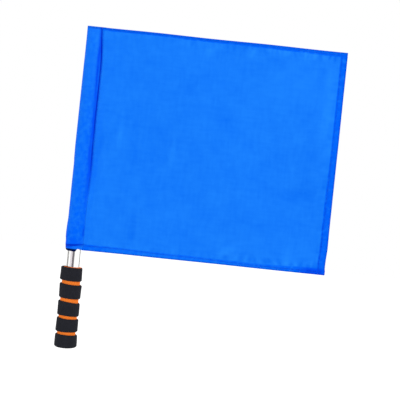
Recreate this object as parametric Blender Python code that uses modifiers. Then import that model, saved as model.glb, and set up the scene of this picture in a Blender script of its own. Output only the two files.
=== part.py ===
"""Linesman flag: a blue cloth on a steel tube with a two-layer foam grip.

Metres, +Z up along the pole. The origin is the centre of the flat butt end, the flag
reaches to +X and its front faces -Y. The cloth's sleeve is loose on the round tube, so
the flag turns about the pole, which is the Z axis.
"""
from math import acos, cos, pi, radians, sin, tan

import bmesh
import bpy

# Pole
TUBE_DIAMETER = 0.0190
TUBE_WALL = 0.0007
TUBE_EDGE = 0.0003
BARE_TUBE = 0.0241

# Plugs in the tube's ends
DOME_HEIGHT = 0.0060
DOME_RIM = 0.0006
FLAT_HEAD_HEIGHT = 0.0030
FLAT_HEAD_EDGE = 0.0008
STEM_LENGTH = 0.0150
STEM_WALL = 0.0016
STEM_RIBS = 3
RIB_HEIGHT = 0.0009
RIB_WIDTH = 0.0016
WEB_THICKNESS = 0.0020

# Foam grip, its rings and grooves from the butt up
CORE_DIAMETER = 0.0245
RING_DIAMETER = 0.0284
BUTT_RING_DIAMETER = 0.0292
RING_HEIGHTS = (0.0167, 0.0167, 0.0177, 0.0179, 0.0175)
GROOVE_HEIGHTS = (0.0047, 0.0047, 0.0057, 0.0056)
RING_BULGE = 0.0002
RING_UPPER_EDGE = 0.0014
RING_LOWER_EDGE = 0.0022
BUTT_EDGE = 0.0034

# Cloth
FLAG_WIDTH = 0.3500
FLAG_HEIGHT = 0.3000
FLAG_LEAN = radians(0.6)
CLOTH_THICKNESS = 0.00035
HEM_THICKNESS = 0.0008
TOP_HEM = 0.0047
BOTTOM_HEM = 0.0060
FLY_HEM = 0.0090
HEM_STEP = 0.0006
WAVE_HEIGHT = 0.0012
WAVE_LENGTH = 0.1500
WAVE_SLANT = 0.6

# Sleeve
FOLD_SLACK_BOTTOM = 0.0020
FOLD_SLACK_TOP = -0.0002
SEAM_SLACK = 0.0022
SEAM_SPREAD = 0.0160
TOP_SEAM_REACH = 0.0088
CLOSING_HEIGHT = 0.0300
SEAM_ALLOWANCE = 0.0080

# Clearances
FIT_GAP = 0.0003
SLEEVE_GAP = 0.0004
LAYER_GAP = 0.0003

# Facets
TURN_STEPS = 48
PLUG_STEPS = 32
EDGE_STEPS = 3
DOME_STEPS = 6
SLEEVE_STEPS = 16
FIELD_STEPS = 8
PLAIN_ROWS = 6
CLOSING_ROWS = (0.28, 0.52, 0.72)
MERGE_DISTANCE = 0.00001
SHARP_ANGLE = radians(35)

# Heights worked out from the sizes above
GRIP_LENGTH = sum(RING_HEIGHTS) + sum(GROOVE_HEIGHTS)
CLOTH_BOTTOM = GRIP_LENGTH + BARE_TUBE
CLOTH_TOP = CLOTH_BOTTOM + FLAG_HEIGHT
TUBE_BOTTOM = FLAT_HEAD_HEIGHT + FIT_GAP
TUBE_TOP = CLOTH_TOP - CLOSING_HEIGHT

TUBE_RADIUS = TUBE_DIAMETER / 2
BORE_RADIUS = TUBE_RADIUS - TUBE_WALL
CORE_RADIUS = CORE_DIAMETER / 2
SLEEVE_RADIUS = TUBE_RADIUS + SLEEVE_GAP + CLOTH_THICKNESS


def clear_scene():
    """Remove everything that is in the scene."""
    for thing in list(bpy.data.objects):
        bpy.data.objects.remove(thing, do_unlink=True)


def make_material(name, colour, roughness, metallic=0.0):
    """A Principled material with one linear colour."""
    material = bpy.data.materials.new(name)
    material.use_nodes = True
    shader = material.node_tree.nodes["Principled BSDF"]
    shader.inputs["Base Color"].default_value = (*colour, 1.0)
    shader.inputs["Roughness"].default_value = roughness
    shader.inputs["Metallic"].default_value = metallic
    material.diffuse_color = (*colour, 1.0)
    return material


def arc(centre_radius, centre_height, radius, start, end, steps, height=None):
    """Points of a profile on an arc, or on an ellipse where its height is given."""
    rise = radius if height is None else height
    points = []
    for step in range(steps + 1):
        angle = radians(start + (end - start) * step / steps)
        points.append((centre_radius + radius * cos(angle), centre_height + rise * sin(angle)))
    return points


def turned_piece(name, outline, closed, steps, material, collection):
    """Turn an outline of (radius, height) points, which runs down its outer side, about Z."""
    mesh = bpy.data.meshes.new(name)
    vertices = [(radius, 0.0, height) for radius, height in outline]
    edges = [(index, index + 1) for index in range(len(outline) - 1)]
    if closed:
        edges.append((len(outline) - 1, 0))
    mesh.from_pydata(vertices, edges, [])
    profile = bpy.data.objects.new(name + "_profile", mesh)
    collection.objects.link(profile)
    screw = profile.modifiers.new("Turn", "SCREW")
    screw.axis = "Z"
    screw.angle = 2 * pi
    screw.steps = steps
    screw.render_steps = steps
    screw.use_merge_vertices = True
    screw.merge_threshold = MERGE_DISTANCE
    evaluated = profile.evaluated_get(bpy.context.evaluated_depsgraph_get())
    solid = bpy.data.meshes.new_from_object(evaluated)
    solid.name = name
    solid.materials.append(material)
    solid.shade_smooth()
    solid.set_sharp_from_angle(angle=SHARP_ANGLE)
    piece = bpy.data.objects.new(name, solid)
    collection.objects.link(piece)
    bpy.data.objects.remove(profile, do_unlink=True)
    bpy.data.meshes.remove(mesh)
    return piece


def make_tube(material, collection):
    """The stainless tube, its cut ends lightly deburred."""
    length = TUBE_TOP - TUBE_BOTTOM
    outline = [
        (BORE_RADIUS + TUBE_EDGE, length),
        (TUBE_RADIUS - TUBE_EDGE, length),
        (TUBE_RADIUS, length - TUBE_EDGE),
        (TUBE_RADIUS, TUBE_EDGE),
        (TUBE_RADIUS - TUBE_EDGE, 0.0),
        (BORE_RADIUS + TUBE_EDGE, 0.0),
        (BORE_RADIUS, TUBE_EDGE),
        (BORE_RADIUS, length - TUBE_EDGE),
    ]
    tube = turned_piece("pole_tube", outline, True, TURN_STEPS, material, collection)
    tube.location.z = TUBE_BOTTOM
    return tube


def stem_outline():
    """The ribbed hollow stem of a plug, from under its head down and up inside to the axis."""
    rib_radius = BORE_RADIUS - FIT_GAP
    stem_radius = rib_radius - RIB_HEIGHT
    hollow_radius = stem_radius - STEM_WALL
    pitch = STEM_LENGTH / (STEM_RIBS + 1)
    outline = [(stem_radius, FIT_GAP)]
    for rib in range(STEM_RIBS):
        middle = -pitch * (rib + 1)
        outline.append((stem_radius, middle + RIB_WIDTH / 2))
        outline.append((rib_radius, middle + RIB_WIDTH / 2))
        outline.append((stem_radius, middle - RIB_WIDTH / 2))
    outline.append((stem_radius, -STEM_LENGTH))
    outline.append((hollow_radius, -STEM_LENGTH))
    outline.append((hollow_radius, -WEB_THICKNESS))
    outline.append((0.0, -WEB_THICKNESS))
    return outline


def make_top_plug(material, collection):
    """The plug with a domed head, in the tube's upper end inside the sleeve."""
    rim = FIT_GAP + DOME_RIM
    dome = arc(0.0, rim, TUBE_RADIUS, 90, 0, DOME_STEPS, DOME_HEIGHT - DOME_RIM)
    outline = dome + [(TUBE_RADIUS, FIT_GAP)] + stem_outline()
    plug = turned_piece("top_plug", outline, False, PLUG_STEPS, material, collection)
    plug.location.z = TUBE_TOP
    return plug


def make_butt_plug(material, collection):
    """The plug with a flat head, turned over into the tube's lower end."""
    face = FIT_GAP + FLAT_HEAD_HEIGHT
    edge_radius = TUBE_RADIUS - FLAT_HEAD_EDGE
    edge = arc(edge_radius, face - FLAT_HEAD_EDGE, FLAT_HEAD_EDGE, 90, 0, EDGE_STEPS)
    outline = [(0.0, face)] + edge + [(TUBE_RADIUS, FIT_GAP)] + stem_outline()
    plug = turned_piece("butt_plug", outline, False, PLUG_STEPS, material, collection)
    plug.rotation_euler.x = pi
    plug.location.z = TUBE_BOTTOM
    return plug


def make_core(material, collection):
    """The orange inner layer of the grip, a plain foam sleeve on the tube."""
    bore = TUBE_RADIUS + FIT_GAP
    outline = [(bore, GRIP_LENGTH), (CORE_RADIUS, GRIP_LENGTH), (CORE_RADIUS, 0.0), (bore, 0.0)]
    return turned_piece("grip_core", outline, True, TURN_STEPS, material, collection)


def make_ring(name, diameter, height, lower_edge, material, collection):
    """One black foam ring with soft edges and slightly swollen sides."""
    bore = CORE_RADIUS + FIT_GAP
    radius = diameter / 2
    upper = arc(radius - RING_UPPER_EDGE, height - RING_UPPER_EDGE, RING_UPPER_EDGE, 90, 0, EDGE_STEPS)
    lower = arc(radius - lower_edge, lower_edge, lower_edge, 0, -90, EDGE_STEPS)
    side = [(radius + RING_BULGE, height / 2)]
    outline = [(bore, height)] + upper + side + lower + [(bore, 0.0)]
    return turned_piece(name, outline, True, TURN_STEPS, material, collection)


def make_rings(material, collection):
    """The five rings, stacked from the butt up and numbered from the top down."""
    count = len(RING_HEIGHTS)
    base = 0.0
    for index, height in enumerate(RING_HEIGHTS):
        at_butt = index == 0
        diameter = BUTT_RING_DIAMETER if at_butt else RING_DIAMETER
        lower_edge = BUTT_EDGE if at_butt else RING_LOWER_EDGE
        ring = make_ring(f"grip_ring_{count - index}", diameter, height, lower_edge, material, collection)
        ring.location.z = base
        base += height + (GROOVE_HEIGHTS[index] if index < count - 1 else 0.0)


def in_hem(height):
    """Whether a height up the cloth lies in its top or bottom hem."""
    return height <= BOTTOM_HEM or height >= FLAG_HEIGHT - TOP_HEM


def row_heights():
    """Heights of the cloth's rows: close in the hems and the closing top, wide in the field."""
    closing_start = FLAG_HEIGHT - CLOSING_HEIGHT
    spread_start = closing_start - SEAM_SPREAD
    plain_start = BOTTOM_HEM + HEM_STEP
    rows = [0.0, BOTTOM_HEM]
    for step in range(PLAIN_ROWS + 1):
        rows.append(plain_start + (spread_start - plain_start) * step / PLAIN_ROWS)
    rows.append(closing_start)
    for share in CLOSING_ROWS:
        rows.append(closing_start + CLOSING_HEIGHT * share)
    rows += [FLAG_HEIGHT - TOP_HEM - HEM_STEP, FLAG_HEIGHT - TOP_HEM, FLAG_HEIGHT]
    return rows


def seam_reach(height):
    """Distance of the sleeve's seam from the pole's axis: loose on the tube, narrow at the top."""
    below_top = FLAG_HEIGHT - height
    if below_top < CLOSING_HEIGHT:
        return TOP_SEAM_REACH + (SLEEVE_RADIUS - TOP_SEAM_REACH) * below_top / CLOSING_HEIGHT
    return SLEEVE_RADIUS + SEAM_SLACK * min((below_top - CLOSING_HEIGHT) / SEAM_SPREAD, 1.0)


def fold_reach(height):
    """Distance of the sleeve's folded edge from the pole's axis."""
    share = height / FLAG_HEIGHT
    return SLEEVE_RADIUS + FOLD_SLACK_BOTTOM + (FOLD_SLACK_TOP - FOLD_SLACK_BOTTOM) * share


def layer_stack(height):
    """Depth from the cloth's face to the outer face of a second layer sewn behind it."""
    thickness = HEM_THICKNESS if in_hem(height) else CLOTH_THICKNESS
    return 2 * thickness + LAYER_GAP


def sleeve_radius(height):
    """Radius of the sleeve's outer face round the tube, wider where the hem is thicker."""
    if height <= BOTTOM_HEM:
        return SLEEVE_RADIUS + HEM_THICKNESS - CLOTH_THICKNESS
    return SLEEVE_RADIUS


def sleeve_point(share, height):
    """Point of the sleeve's outer face, from the seam behind round the fold to the seam in front."""
    angle = 2 * pi * share
    from_seam = min(angle, 2 * pi - angle)
    behind = share < 0.5
    seam = seam_reach(height)
    radius = sleeve_radius(height)
    if from_seam < pi / 2:
        leaving = acos(min(radius / seam, 1.0))
        reach = radius / cos(max(leaving - from_seam, 0.0))
        squeeze = min(seam / radius, 1.0)
    else:
        slack = fold_reach(height) - radius
        reach = radius + slack * cos(from_seam) ** 2
        squeeze = 1.0
    stack = layer_stack(height)
    depth = reach * sin(from_seam)
    open_y = depth if behind else -depth
    flat_y = stack if behind else 0.0
    if share in (0.0, 1.0):
        open_y = flat_y
    if share == 0.5:
        flat_y = stack / 2
    closing = min((FLAG_HEIGHT - height) / CLOSING_HEIGHT, 1.0)
    openness = sin(closing * pi / 2)
    return reach * cos(from_seam) * squeeze, flat_y + (open_y - flat_y) * openness


def wave(across, height):
    """Shallow waves of the field, which die out at the sleeve."""
    if across <= 0.0:
        return 0.0
    rise = min(across / WAVE_LENGTH, 1.0)
    phase = 2 * pi * (across + WAVE_SLANT * height) / WAVE_LENGTH
    return WAVE_HEIGHT * rise * sin(phase)


def cloth_columns():
    """Columns of the cloth in order: seam allowance, round the sleeve, field and fly hem."""
    columns = [("allowance", 0.0)]
    columns += [("sleeve", step / SLEEVE_STEPS) for step in range(SLEEVE_STEPS + 1)]
    columns += [("field", step / FIELD_STEPS) for step in range(1, FIELD_STEPS + 1)]
    columns += [("hem", 0.0), ("hem", 1.0)]
    return columns


def cloth_point(column, height):
    """Place one point of the cloth's face, its lean and waves included."""
    zone, share = column
    seam = seam_reach(height)
    fly = FLAG_WIDTH - fold_reach(0.0) + tan(FLAG_LEAN) * height
    field_end = fly - FLY_HEM - HEM_STEP
    if zone == "allowance":
        x = seam + SEAM_ALLOWANCE
        y = layer_stack(height)
    elif zone == "sleeve":
        x, y = sleeve_point(share, height)
    elif zone == "field":
        x = seam + (field_end - seam) * share
        y = wave(x - seam - SEAM_ALLOWANCE, height)
    else:
        x = fly - FLY_HEM * (1.0 - share)
        y = wave(x - seam - SEAM_ALLOWANCE, height)
    return x, y, height - tan(FLAG_LEAN) * x


def make_cloth(material, collection):
    """The flag's one piece of cloth: hemmed field, folded sleeve and its sewn allowance."""
    columns = cloth_columns()
    rows = row_heights()
    column_steps = len(columns) - 1
    row_steps = len(rows) - 1
    sheet = bmesh.new()
    bmesh.ops.create_grid(sheet, x_segments=column_steps, y_segments=row_steps, size=0.5)
    mesh = bpy.data.meshes.new("flag_cloth")
    thick = []
    for vertex in sheet.verts:
        column = columns[round((vertex.co.x + 0.5) * column_steps)]
        height = rows[round((vertex.co.y + 0.5) * row_steps)]
        vertex.co = cloth_point(column, height)
        if in_hem(height) or column[0] == "hem":
            thick.append(vertex.index)
    sheet.to_mesh(mesh)
    sheet.free()
    mesh.materials.append(material)
    mesh.shade_smooth()
    cloth = bpy.data.objects.new("flag_cloth", mesh)
    collection.objects.link(cloth)
    cloth.location.z = CLOTH_BOTTOM
    hems = cloth.vertex_groups.new(name="hems")
    hems.add(thick, 1.0, "REPLACE")
    solidify = cloth.modifiers.new("Cloth", "SOLIDIFY")
    solidify.thickness = HEM_THICKNESS
    solidify.offset = -1.0
    solidify.use_even_offset = True
    solidify.vertex_group = hems.name
    solidify.thickness_vertex_group = CLOTH_THICKNESS / HEM_THICKNESS
    return cloth


def main():
    """Build every piece of the flag."""
    clear_scene()
    collection = bpy.data.collections.new("linesman_flag")
    bpy.context.scene.collection.children.link(collection)
    cloth_blue = make_material("polyester_blue", (0.008, 0.195, 0.99), 0.62)
    steel = make_material("stainless_steel", (0.76, 0.76, 0.75), 0.18, 1.0)
    plastic = make_material("polyethylene_black", (0.02, 0.02, 0.02), 0.45)
    orange_foam = make_material("foam_orange", (0.95, 0.20, 0.02), 0.75)
    black_foam = make_material("foam_black", (0.022, 0.021, 0.024), 0.80)
    make_cloth(cloth_blue, collection)
    make_tube(steel, collection)
    make_top_plug(plastic, collection)
    make_butt_plug(plastic, collection)
    make_core(orange_foam, collection)
    make_rings(black_foam, collection)


main()
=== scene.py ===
"""Looks of the linesman flag: woven cloth, sewing thread, steel pole, plugs, foam grip and studio.

Metres, +Z up along the pole, +X towards the fly edge, -Y out of the flag's front face. The
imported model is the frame: what a piece shares with it is read from its nodes.
"""

import logging
import math
from dataclasses import dataclass
from enum import Enum
from typing import Callable

import bmesh
import bpy
import numpy as np
from mathutils import Matrix, Vector


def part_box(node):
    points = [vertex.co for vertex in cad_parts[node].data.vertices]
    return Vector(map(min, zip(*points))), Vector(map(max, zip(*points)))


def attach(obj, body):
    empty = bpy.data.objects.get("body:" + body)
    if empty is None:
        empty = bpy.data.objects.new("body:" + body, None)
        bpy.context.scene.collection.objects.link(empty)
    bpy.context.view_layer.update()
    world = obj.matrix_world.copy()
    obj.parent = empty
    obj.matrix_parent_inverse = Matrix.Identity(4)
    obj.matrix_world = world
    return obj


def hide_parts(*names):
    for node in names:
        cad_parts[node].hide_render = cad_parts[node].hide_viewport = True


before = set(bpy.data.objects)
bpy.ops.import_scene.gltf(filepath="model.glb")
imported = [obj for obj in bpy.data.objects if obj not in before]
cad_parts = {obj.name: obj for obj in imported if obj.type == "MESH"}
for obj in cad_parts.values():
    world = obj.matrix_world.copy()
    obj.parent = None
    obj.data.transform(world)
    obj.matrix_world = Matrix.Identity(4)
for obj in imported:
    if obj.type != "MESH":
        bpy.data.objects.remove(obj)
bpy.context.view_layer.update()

LOG = logging.getLogger("linesman_flag")
MM = 0.001

Array = np.ndarray
Piece = bpy.types.Object
Tree = bpy.types.NodeTree
Socket = bpy.types.NodeSocket
Colour = tuple[float, float, float, float]
Course = tuple[tuple[float, ...], ...]
Outline = list[tuple[float, float]]
Pair = tuple[float, float]
Triple = tuple[float, float, float]


def linear(code: str) -> Colour:
    """Turn an sRGB hex colour into Blender's linear one.

    Args:
        code: The colour as "#RRGGBB".

    Returns:
        Linear red, green, blue and an alpha of 1.
    """
    shares = [int(code[start:start + 2], 16) / 255 for start in (1, 3, 5)]
    return (*(share / 12.92 if share <= 0.04045 else ((share + 0.055) / 1.055) ** 2.4
              for share in shares), 1.0)


def add_node(tree: Tree, kind: str, output: str, inputs: dict | None = None,
             **settings: object) -> Socket:
    """Add a shader node with its settings, values and incoming links.

    Args:
        tree: The node tree that it joins.
        kind: Its type, as written after "ShaderNode".
        output: Name of the output that is wanted.
        inputs: Values and sockets to link, by the input's name or number.
        settings: Its properties.

    Returns:
        The output.
    """
    node = tree.nodes.new("ShaderNode" + kind)
    for name, value in settings.items():
        setattr(node, name, value)
    for name, value in (inputs or {}).items():
        if isinstance(value, Socket):
            tree.links.new(value, node.inputs[name])
        else:
            node.inputs[name].default_value = value
    return node.outputs[output]


def course(*rows: tuple[float, ...], lengths: int = 2) -> Course:
    """Rows of a place and the values there, the first numbers of each lengths in millimetres."""
    return tuple(tuple(value * MM if column < lengths else value
                       for column, value in enumerate(row)) for row in rows)


def follow(points: Course, at: Array, column: int = 1) -> Array:
    """Read a course at given places, straight between its points."""
    table = np.array(points)
    return np.interp(at, table[:, 0], table[:, column])


def smooth_step(value: Array) -> Array:
    """Ease from 0 to 1 as the value goes from 0 to 1."""
    share = np.clip(value, 0.0, 1.0)
    return share * share * (3 - 2 * share)


def within(distance: Array, width: Array | float, fade: float = 0.8 * MM,
           share: float = 1.0) -> Array:
    """A share for places within a width of an edge, which fades softly across its end."""
    return share * (1 - smooth_step((distance - width) / fade + 0.5))


def on_line(distance: Array, place: Array | float,
            half_width: Array | float = 0.75 * MM, share: float = 1.0) -> Array:
    """A share for places on a soft line."""
    return share * np.exp(-((distance - place) / half_width) ** 2)


def rounded(radius: float, height: float, edge: float, start: float, steps: int = 4) -> Outline:
    """Points of a quarter round about a centre, turning back from its start angle in degrees."""
    return [(radius + edge * math.cos(angle), height + edge * math.sin(angle))
            for angle in np.radians(np.linspace(start, start - 90, steps + 1))]


class Body(Enum):
    """The two bodies that pieces ride on."""

    POLE = "pole"
    FLAG = "flag"


class Mark(Enum):
    """Painted light and shade that the cloth's mesh carries for its material, by attribute name."""

    PAINTED_LIGHT_AND_SHADE = "tone"
    BACKING_SHADE = "backing_shade"
    TUCK_SHADE = "tuck_shade"
    GROOVE_SHADE = "groove_shade"
    STITCH_SHADE = "stitch"
    MOUTH_AND_RIM_SHADE = "mouth_and_rim_shade"


@dataclass(frozen=True)
class Finish:
    """A material, named for what the real one is and how its surface was made.

    Attributes:
        base: Its main colour.
        bump: Strength of its relief.
        depth: Depth of its relief.
        sunken: Whether the relief goes inwards.
    """

    name: str
    slot: str
    base: str
    roughness: float
    bump: float
    depth: float
    sunken: bool = False
    metallic: float = 0.0
    ior: float = 1.5
    specular: float = 0.5
    specular_tint: str = "#FFFFFF"
    sheen: float = 0.0
    sheen_tint: str = "#FFFFFF"

    def material(self) -> bpy.types.Material:
        """Make the material, or find it once it is made.

        Returns:
            The material with its nodes.
        """
        if self.name in bpy.data.materials:
            return bpy.data.materials[self.name]
        made = bpy.data.materials.new(self.name)
        made.use_nodes = True
        made.diffuse_color = linear(self.base)
        tree = made.node_tree
        shader = tree.nodes["Principled BSDF"]
        for name, value in {
            "Base Color": linear(self.base), "Roughness": self.roughness, "IOR": self.ior,
            "Metallic": self.metallic, "Specular IOR Level": self.specular,
            "Specular Tint": linear(self.specular_tint), "Sheen Weight": self.sheen,
            "Sheen Tint": linear(self.sheen_tint),
        }.items():
            shader.inputs[name].default_value = value
        varied = self.pattern(tree)
        varied["Normal"] = add_node(tree, "Bump", "Normal", {
            "Strength": self.bump, "Distance": self.depth, "Height": varied.pop("Height"),
        }, invert=self.sunken)
        for name, socket in varied.items():
            tree.links.new(socket, shader.inputs[name])
        return made

    def pattern(self, tree: Tree) -> dict[str, Socket]:
        """Draw what varies: sockets for the shader's inputs by name, the relief's as "Height"."""
        raise NotImplementedError


@dataclass(frozen=True)
class WovenPolyester(Finish):
    """Plain-woven polyester, piece-dyed blue and calendered: an even, matt, very strong blue.

    Light that shows through a single layer is painted: painted shade makes a hem or the sleeve,
    where more layers lie behind it, darker. Painted shade also draws a dark line where the needle
    draws the cloth in along a seam, and shades tucks, creases, stitch rows, the sleeve's mouth and
    the turned edges; folds get painted light and shade.
    """

    name: str = "woven_polyester_blue"
    slot: str = "polyester_blue"
    base: str = "#167BFC"
    # Ends of the mottle, and of the tone mark's painted light and shade.
    darker_mottle_and_shade: str = "#0B6FF4"
    lighter_mottle_and_light: str = "#2088FF"
    # Painted shade where layers behind hold back the light that shows through the cloth.
    backed_shade: str = "#0266FA"
    # Painted shade of tucks, slack cloth and the sleeve's wrinkles.
    tucked_shade: str = "#0354F7"
    # Painted shade of the seam's line, the crease above the mouth and the folded edges.
    drawn_in_shade: str = "#022AC4"
    # Painted shade along the rows of stitches.
    stitched_shade: str = "#0034D8"
    # Painted shade of the sleeve's mouth and of the turned edges' rims.
    mouth_shade: str = "#010A3C"
    roughness: float = 0.62
    specular: float = 0.08
    specular_tint: str = "#3C8CFF"
    sheen: float = 0.05
    sheen_tint: str = "#2F86FF"
    bump: float = 0.25
    depth: float = 0.08 * MM
    # The real threads are 0.2 mm apart. They are drawn at 0.6 mm, to show in a close view.
    thread_spacing: float = 0.6 * MM
    slub_spacing: float = 5.0 * MM
    slub_weight: float = 0.45
    mottle_spacing: float = 30.0 * MM
    pull_spacing: float = 5.0 * MM
    blot_spacing: float = 6.0 * MM

    def pattern(self, tree: Tree) -> dict[str, Socket]:
        """Lay the weave over the colours of one layer and of several.

        Args:
            tree: The material's node tree.

        Returns:
            Sockets for the colour and the height.
        """
        place = add_node(tree, "UVMap", "UV", uv_map=FlagCloth.UV_NAME)
        marks = {mark: add_node(tree, "Attribute", "Fac", attribute_name=mark.value)
                 for mark in Mark}
        # The needle draws the cloth in unevenly from stitch to stitch, and the layers behind lie
        # close in some places and stand off in others, so the painted shade of stitch rows and
        # layers varies.
        for mark, spacing, detail, reach, spread in (
            (Mark.STITCH_SHADE, self.pull_spacing, 3.0, 0.15, 0.9),
            (Mark.BACKING_SHADE, self.blot_spacing, 2.0, 0.2, 0.6),
        ):
            uneven = add_node(tree, "TexNoise", "Fac", {
                "Vector": place, "Scale": 1 / spacing, "Detail": detail})
            level = add_node(tree, "MapRange", "Result", {
                "Value": uneven, "From Min": 0.5 - reach, "From Max": 0.5 + reach,
                "To Min": 1 - spread, "To Max": 1 + spread})
            marks[mark] = add_node(tree, "Math", "Value", {0: marks[mark], 1: level},
                                   operation="MULTIPLY")
        # The tone mark paints light and shade into the mottle.
        colour = self.mottled(tree, place, marks[Mark.PAINTED_LIGHT_AND_SHADE])
        # Each of these marks mixes in painted shade.
        for mark, tone in ((Mark.BACKING_SHADE, self.backed_shade), (Mark.TUCK_SHADE, self.tucked_shade),
                           (Mark.GROOVE_SHADE, self.drawn_in_shade), (Mark.STITCH_SHADE, self.stitched_shade),
                           (Mark.MOUTH_AND_RIM_SHADE, self.mouth_shade)):
            colour = add_node(tree, "Mix", "Result", {
                "A": colour, "B": linear(tone), "Factor": marks[mark]}, data_type="RGBA")
        # The threads cross. A wave's bands repeat every 1 / (20 x scale) of its coordinates.
        threads = []
        for turn in (0.0, math.pi / 2):
            turned = add_node(tree, "Mapping", "Vector", {
                "Vector": place, "Rotation": (0.0, 0.0, turn)})
            threads.append(add_node(tree, "TexWave", "Fac", {
                "Vector": turned, "Scale": math.pi / (10 * self.thread_spacing),
                "Distortion": 0.6, "Detail": 1.0}))
        weave = add_node(tree, "Math", "Value", dict(enumerate(threads)), operation="MULTIPLY")
        return {"Base Color": colour, "Height": weave}

    def mottled(self, tree: Tree, place: Socket, tone: Socket) -> Socket:
        """Vary a layer's colour a little, in soft patches and slubs, and by painted light and
        shade.

        Args:
            tree: The material's node tree.
            place: The cloth's own coordinates.
            tone: The mesh's painted light and shade.

        Returns:
            The varied colour.
        """
        patches = add_node(tree, "TexNoise", "Fac", {
            "Vector": place, "Scale": 1 / self.mottle_spacing, "Detail": 3.0, "Roughness": 0.6})
        # The two slub noises add their weight on average, which makes the middle 0.44.
        total = add_node(tree, "MapRange", "Result", {
            "Value": patches, "From Min": 0.3, "From Max": 0.7, "To Min": -0.15, "To Max": 0.13})
        for stretch in ((1.0, 0.25, 1.0), (0.25, 1.0, 1.0)):
            drawn = add_node(tree, "Mapping", "Vector", {"Vector": place, "Scale": stretch})
            slubs = add_node(tree, "TexNoise", "Fac", {
                "Vector": drawn, "Scale": 1 / self.slub_spacing})
            total = add_node(tree, "Math", "Value", {0: slubs, 1: self.slub_weight, 2: total},
                             operation="MULTIPLY_ADD")
        share = add_node(tree, "Math", "Value", {0: total, 1: tone}, operation="ADD")
        return add_node(tree, "Mix", "Result", {
            "A": linear(self.darker_mottle_and_shade), "B": linear(self.lighter_mottle_and_light), "Factor": share},
            data_type="RGBA")


@dataclass(frozen=True)
class SewingThread(Finish):
    """Spun polyester thread, dyed to match: a hairy twist, a little glossier than the cloth."""

    name: str = "spun_thread_blue"
    slot: str = "polyester_blue"
    base: str = "#0450D8"
    # Painted highlight on the plies' twist.
    ply_highlight: str = "#1B74F2"
    roughness: float = 0.5
    specular: float = 0.2
    specular_tint: str = "#3C8CFF"
    bump: float = 0.3
    depth: float = 0.05 * MM
    twist: float = 0.5 * MM

    def pattern(self, tree: Tree) -> dict[str, Socket]:
        """Draw the twist of the plies as bands of painted highlight and shade, and as relief.

        Args:
            tree: The material's node tree.

        Returns:
            Sockets for the colour and the height.
        """
        place = add_node(tree, "TexCoord", "Object")
        plies = add_node(tree, "TexWave", "Fac", {
            "Vector": place, "Scale": math.pi / (10 * self.twist)}, bands_direction="DIAGONAL")
        colour = add_node(tree, "Mix", "Result", {
            "A": linear(self.base), "B": linear(self.ply_highlight), "Factor": plies},
            data_type="RGBA")
        return {"Base Color": colour, "Height": plies}


@dataclass(frozen=True)
class PolishedSteel(Finish):
    """Stainless tube, drawn and polished: bright mirror-like reflections, drawn out lengthwise."""

    name: str = "polished_stainless_steel"
    slot: str = "stainless_steel"
    base: str = "#F7F7F6"
    dull: str = "#E8E7E6"
    roughness: float = 0.11
    smoother: float = 0.03
    rougher: float = 0.06
    metallic: float = 1.0
    bump: float = 0.04
    depth: float = 0.02 * MM
    draw_line_spacing: float = 0.7 * MM
    draw_line_stretch: float = 0.02

    def pattern(self, tree: Tree) -> dict[str, Socket]:
        """Lay fine lines along the tube, with a slightly uneven polish.

        Args:
            tree: The material's node tree.

        Returns:
            Sockets for the colour, the roughness and the height.
        """
        place = add_node(tree, "TexCoord", "Object")
        drawn = add_node(tree, "Mapping", "Vector", {
            "Vector": place, "Scale": (1.0, 1.0, self.draw_line_stretch)})
        lines = add_node(tree, "TexNoise", "Fac", {
            "Vector": drawn, "Scale": 1 / self.draw_line_spacing})
        polish = add_node(tree, "MapRange", "Result", {
            "Value": lines, "To Min": self.roughness - self.smoother,
            "To Max": self.roughness + self.rougher})
        tone = add_node(tree, "Mix", "Result", {
            "A": linear(self.dull), "B": linear(self.base), "Factor": lines}, data_type="RGBA")
        return {"Base Color": tone, "Roughness": polish, "Height": lines}


@dataclass(frozen=True)
class MouldedPlastic(Finish):
    """Injection-moulded polyethylene, black: satin, with the fine grain of a spark-eroded mould."""

    name: str = "moulded_polyethylene_black"
    slot: str = "plug_plastic"
    base: str = "#1C1C1E"
    worn: str = "#2A2A2C"
    roughness: float = 0.45
    ior: float = 1.51
    bump: float = 0.25
    depth: float = 0.04 * MM
    scuff_spacing: float = 4.0 * MM
    grain_spacing: float = 0.5 * MM

    def pattern(self, tree: Tree) -> dict[str, Socket]:
        """Grain the surface and let scuffs lighten it in patches.

        Args:
            tree: The material's node tree.

        Returns:
            Sockets for the colour and the height.
        """
        place = add_node(tree, "TexCoord", "Object")
        scuffs, grain = (add_node(tree, "TexNoise", "Fac", {
            "Vector": place, "Scale": 1 / spacing, "Detail": detail})
            for spacing, detail in ((self.scuff_spacing, 4.0), (self.grain_spacing, 2.0)))
        colour = add_node(tree, "Mix", "Result", {
            "A": linear(self.base), "B": linear(self.worn), "Factor": scuffs}, data_type="RGBA")
        return {"Base Color": colour, "Height": grain}


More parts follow.
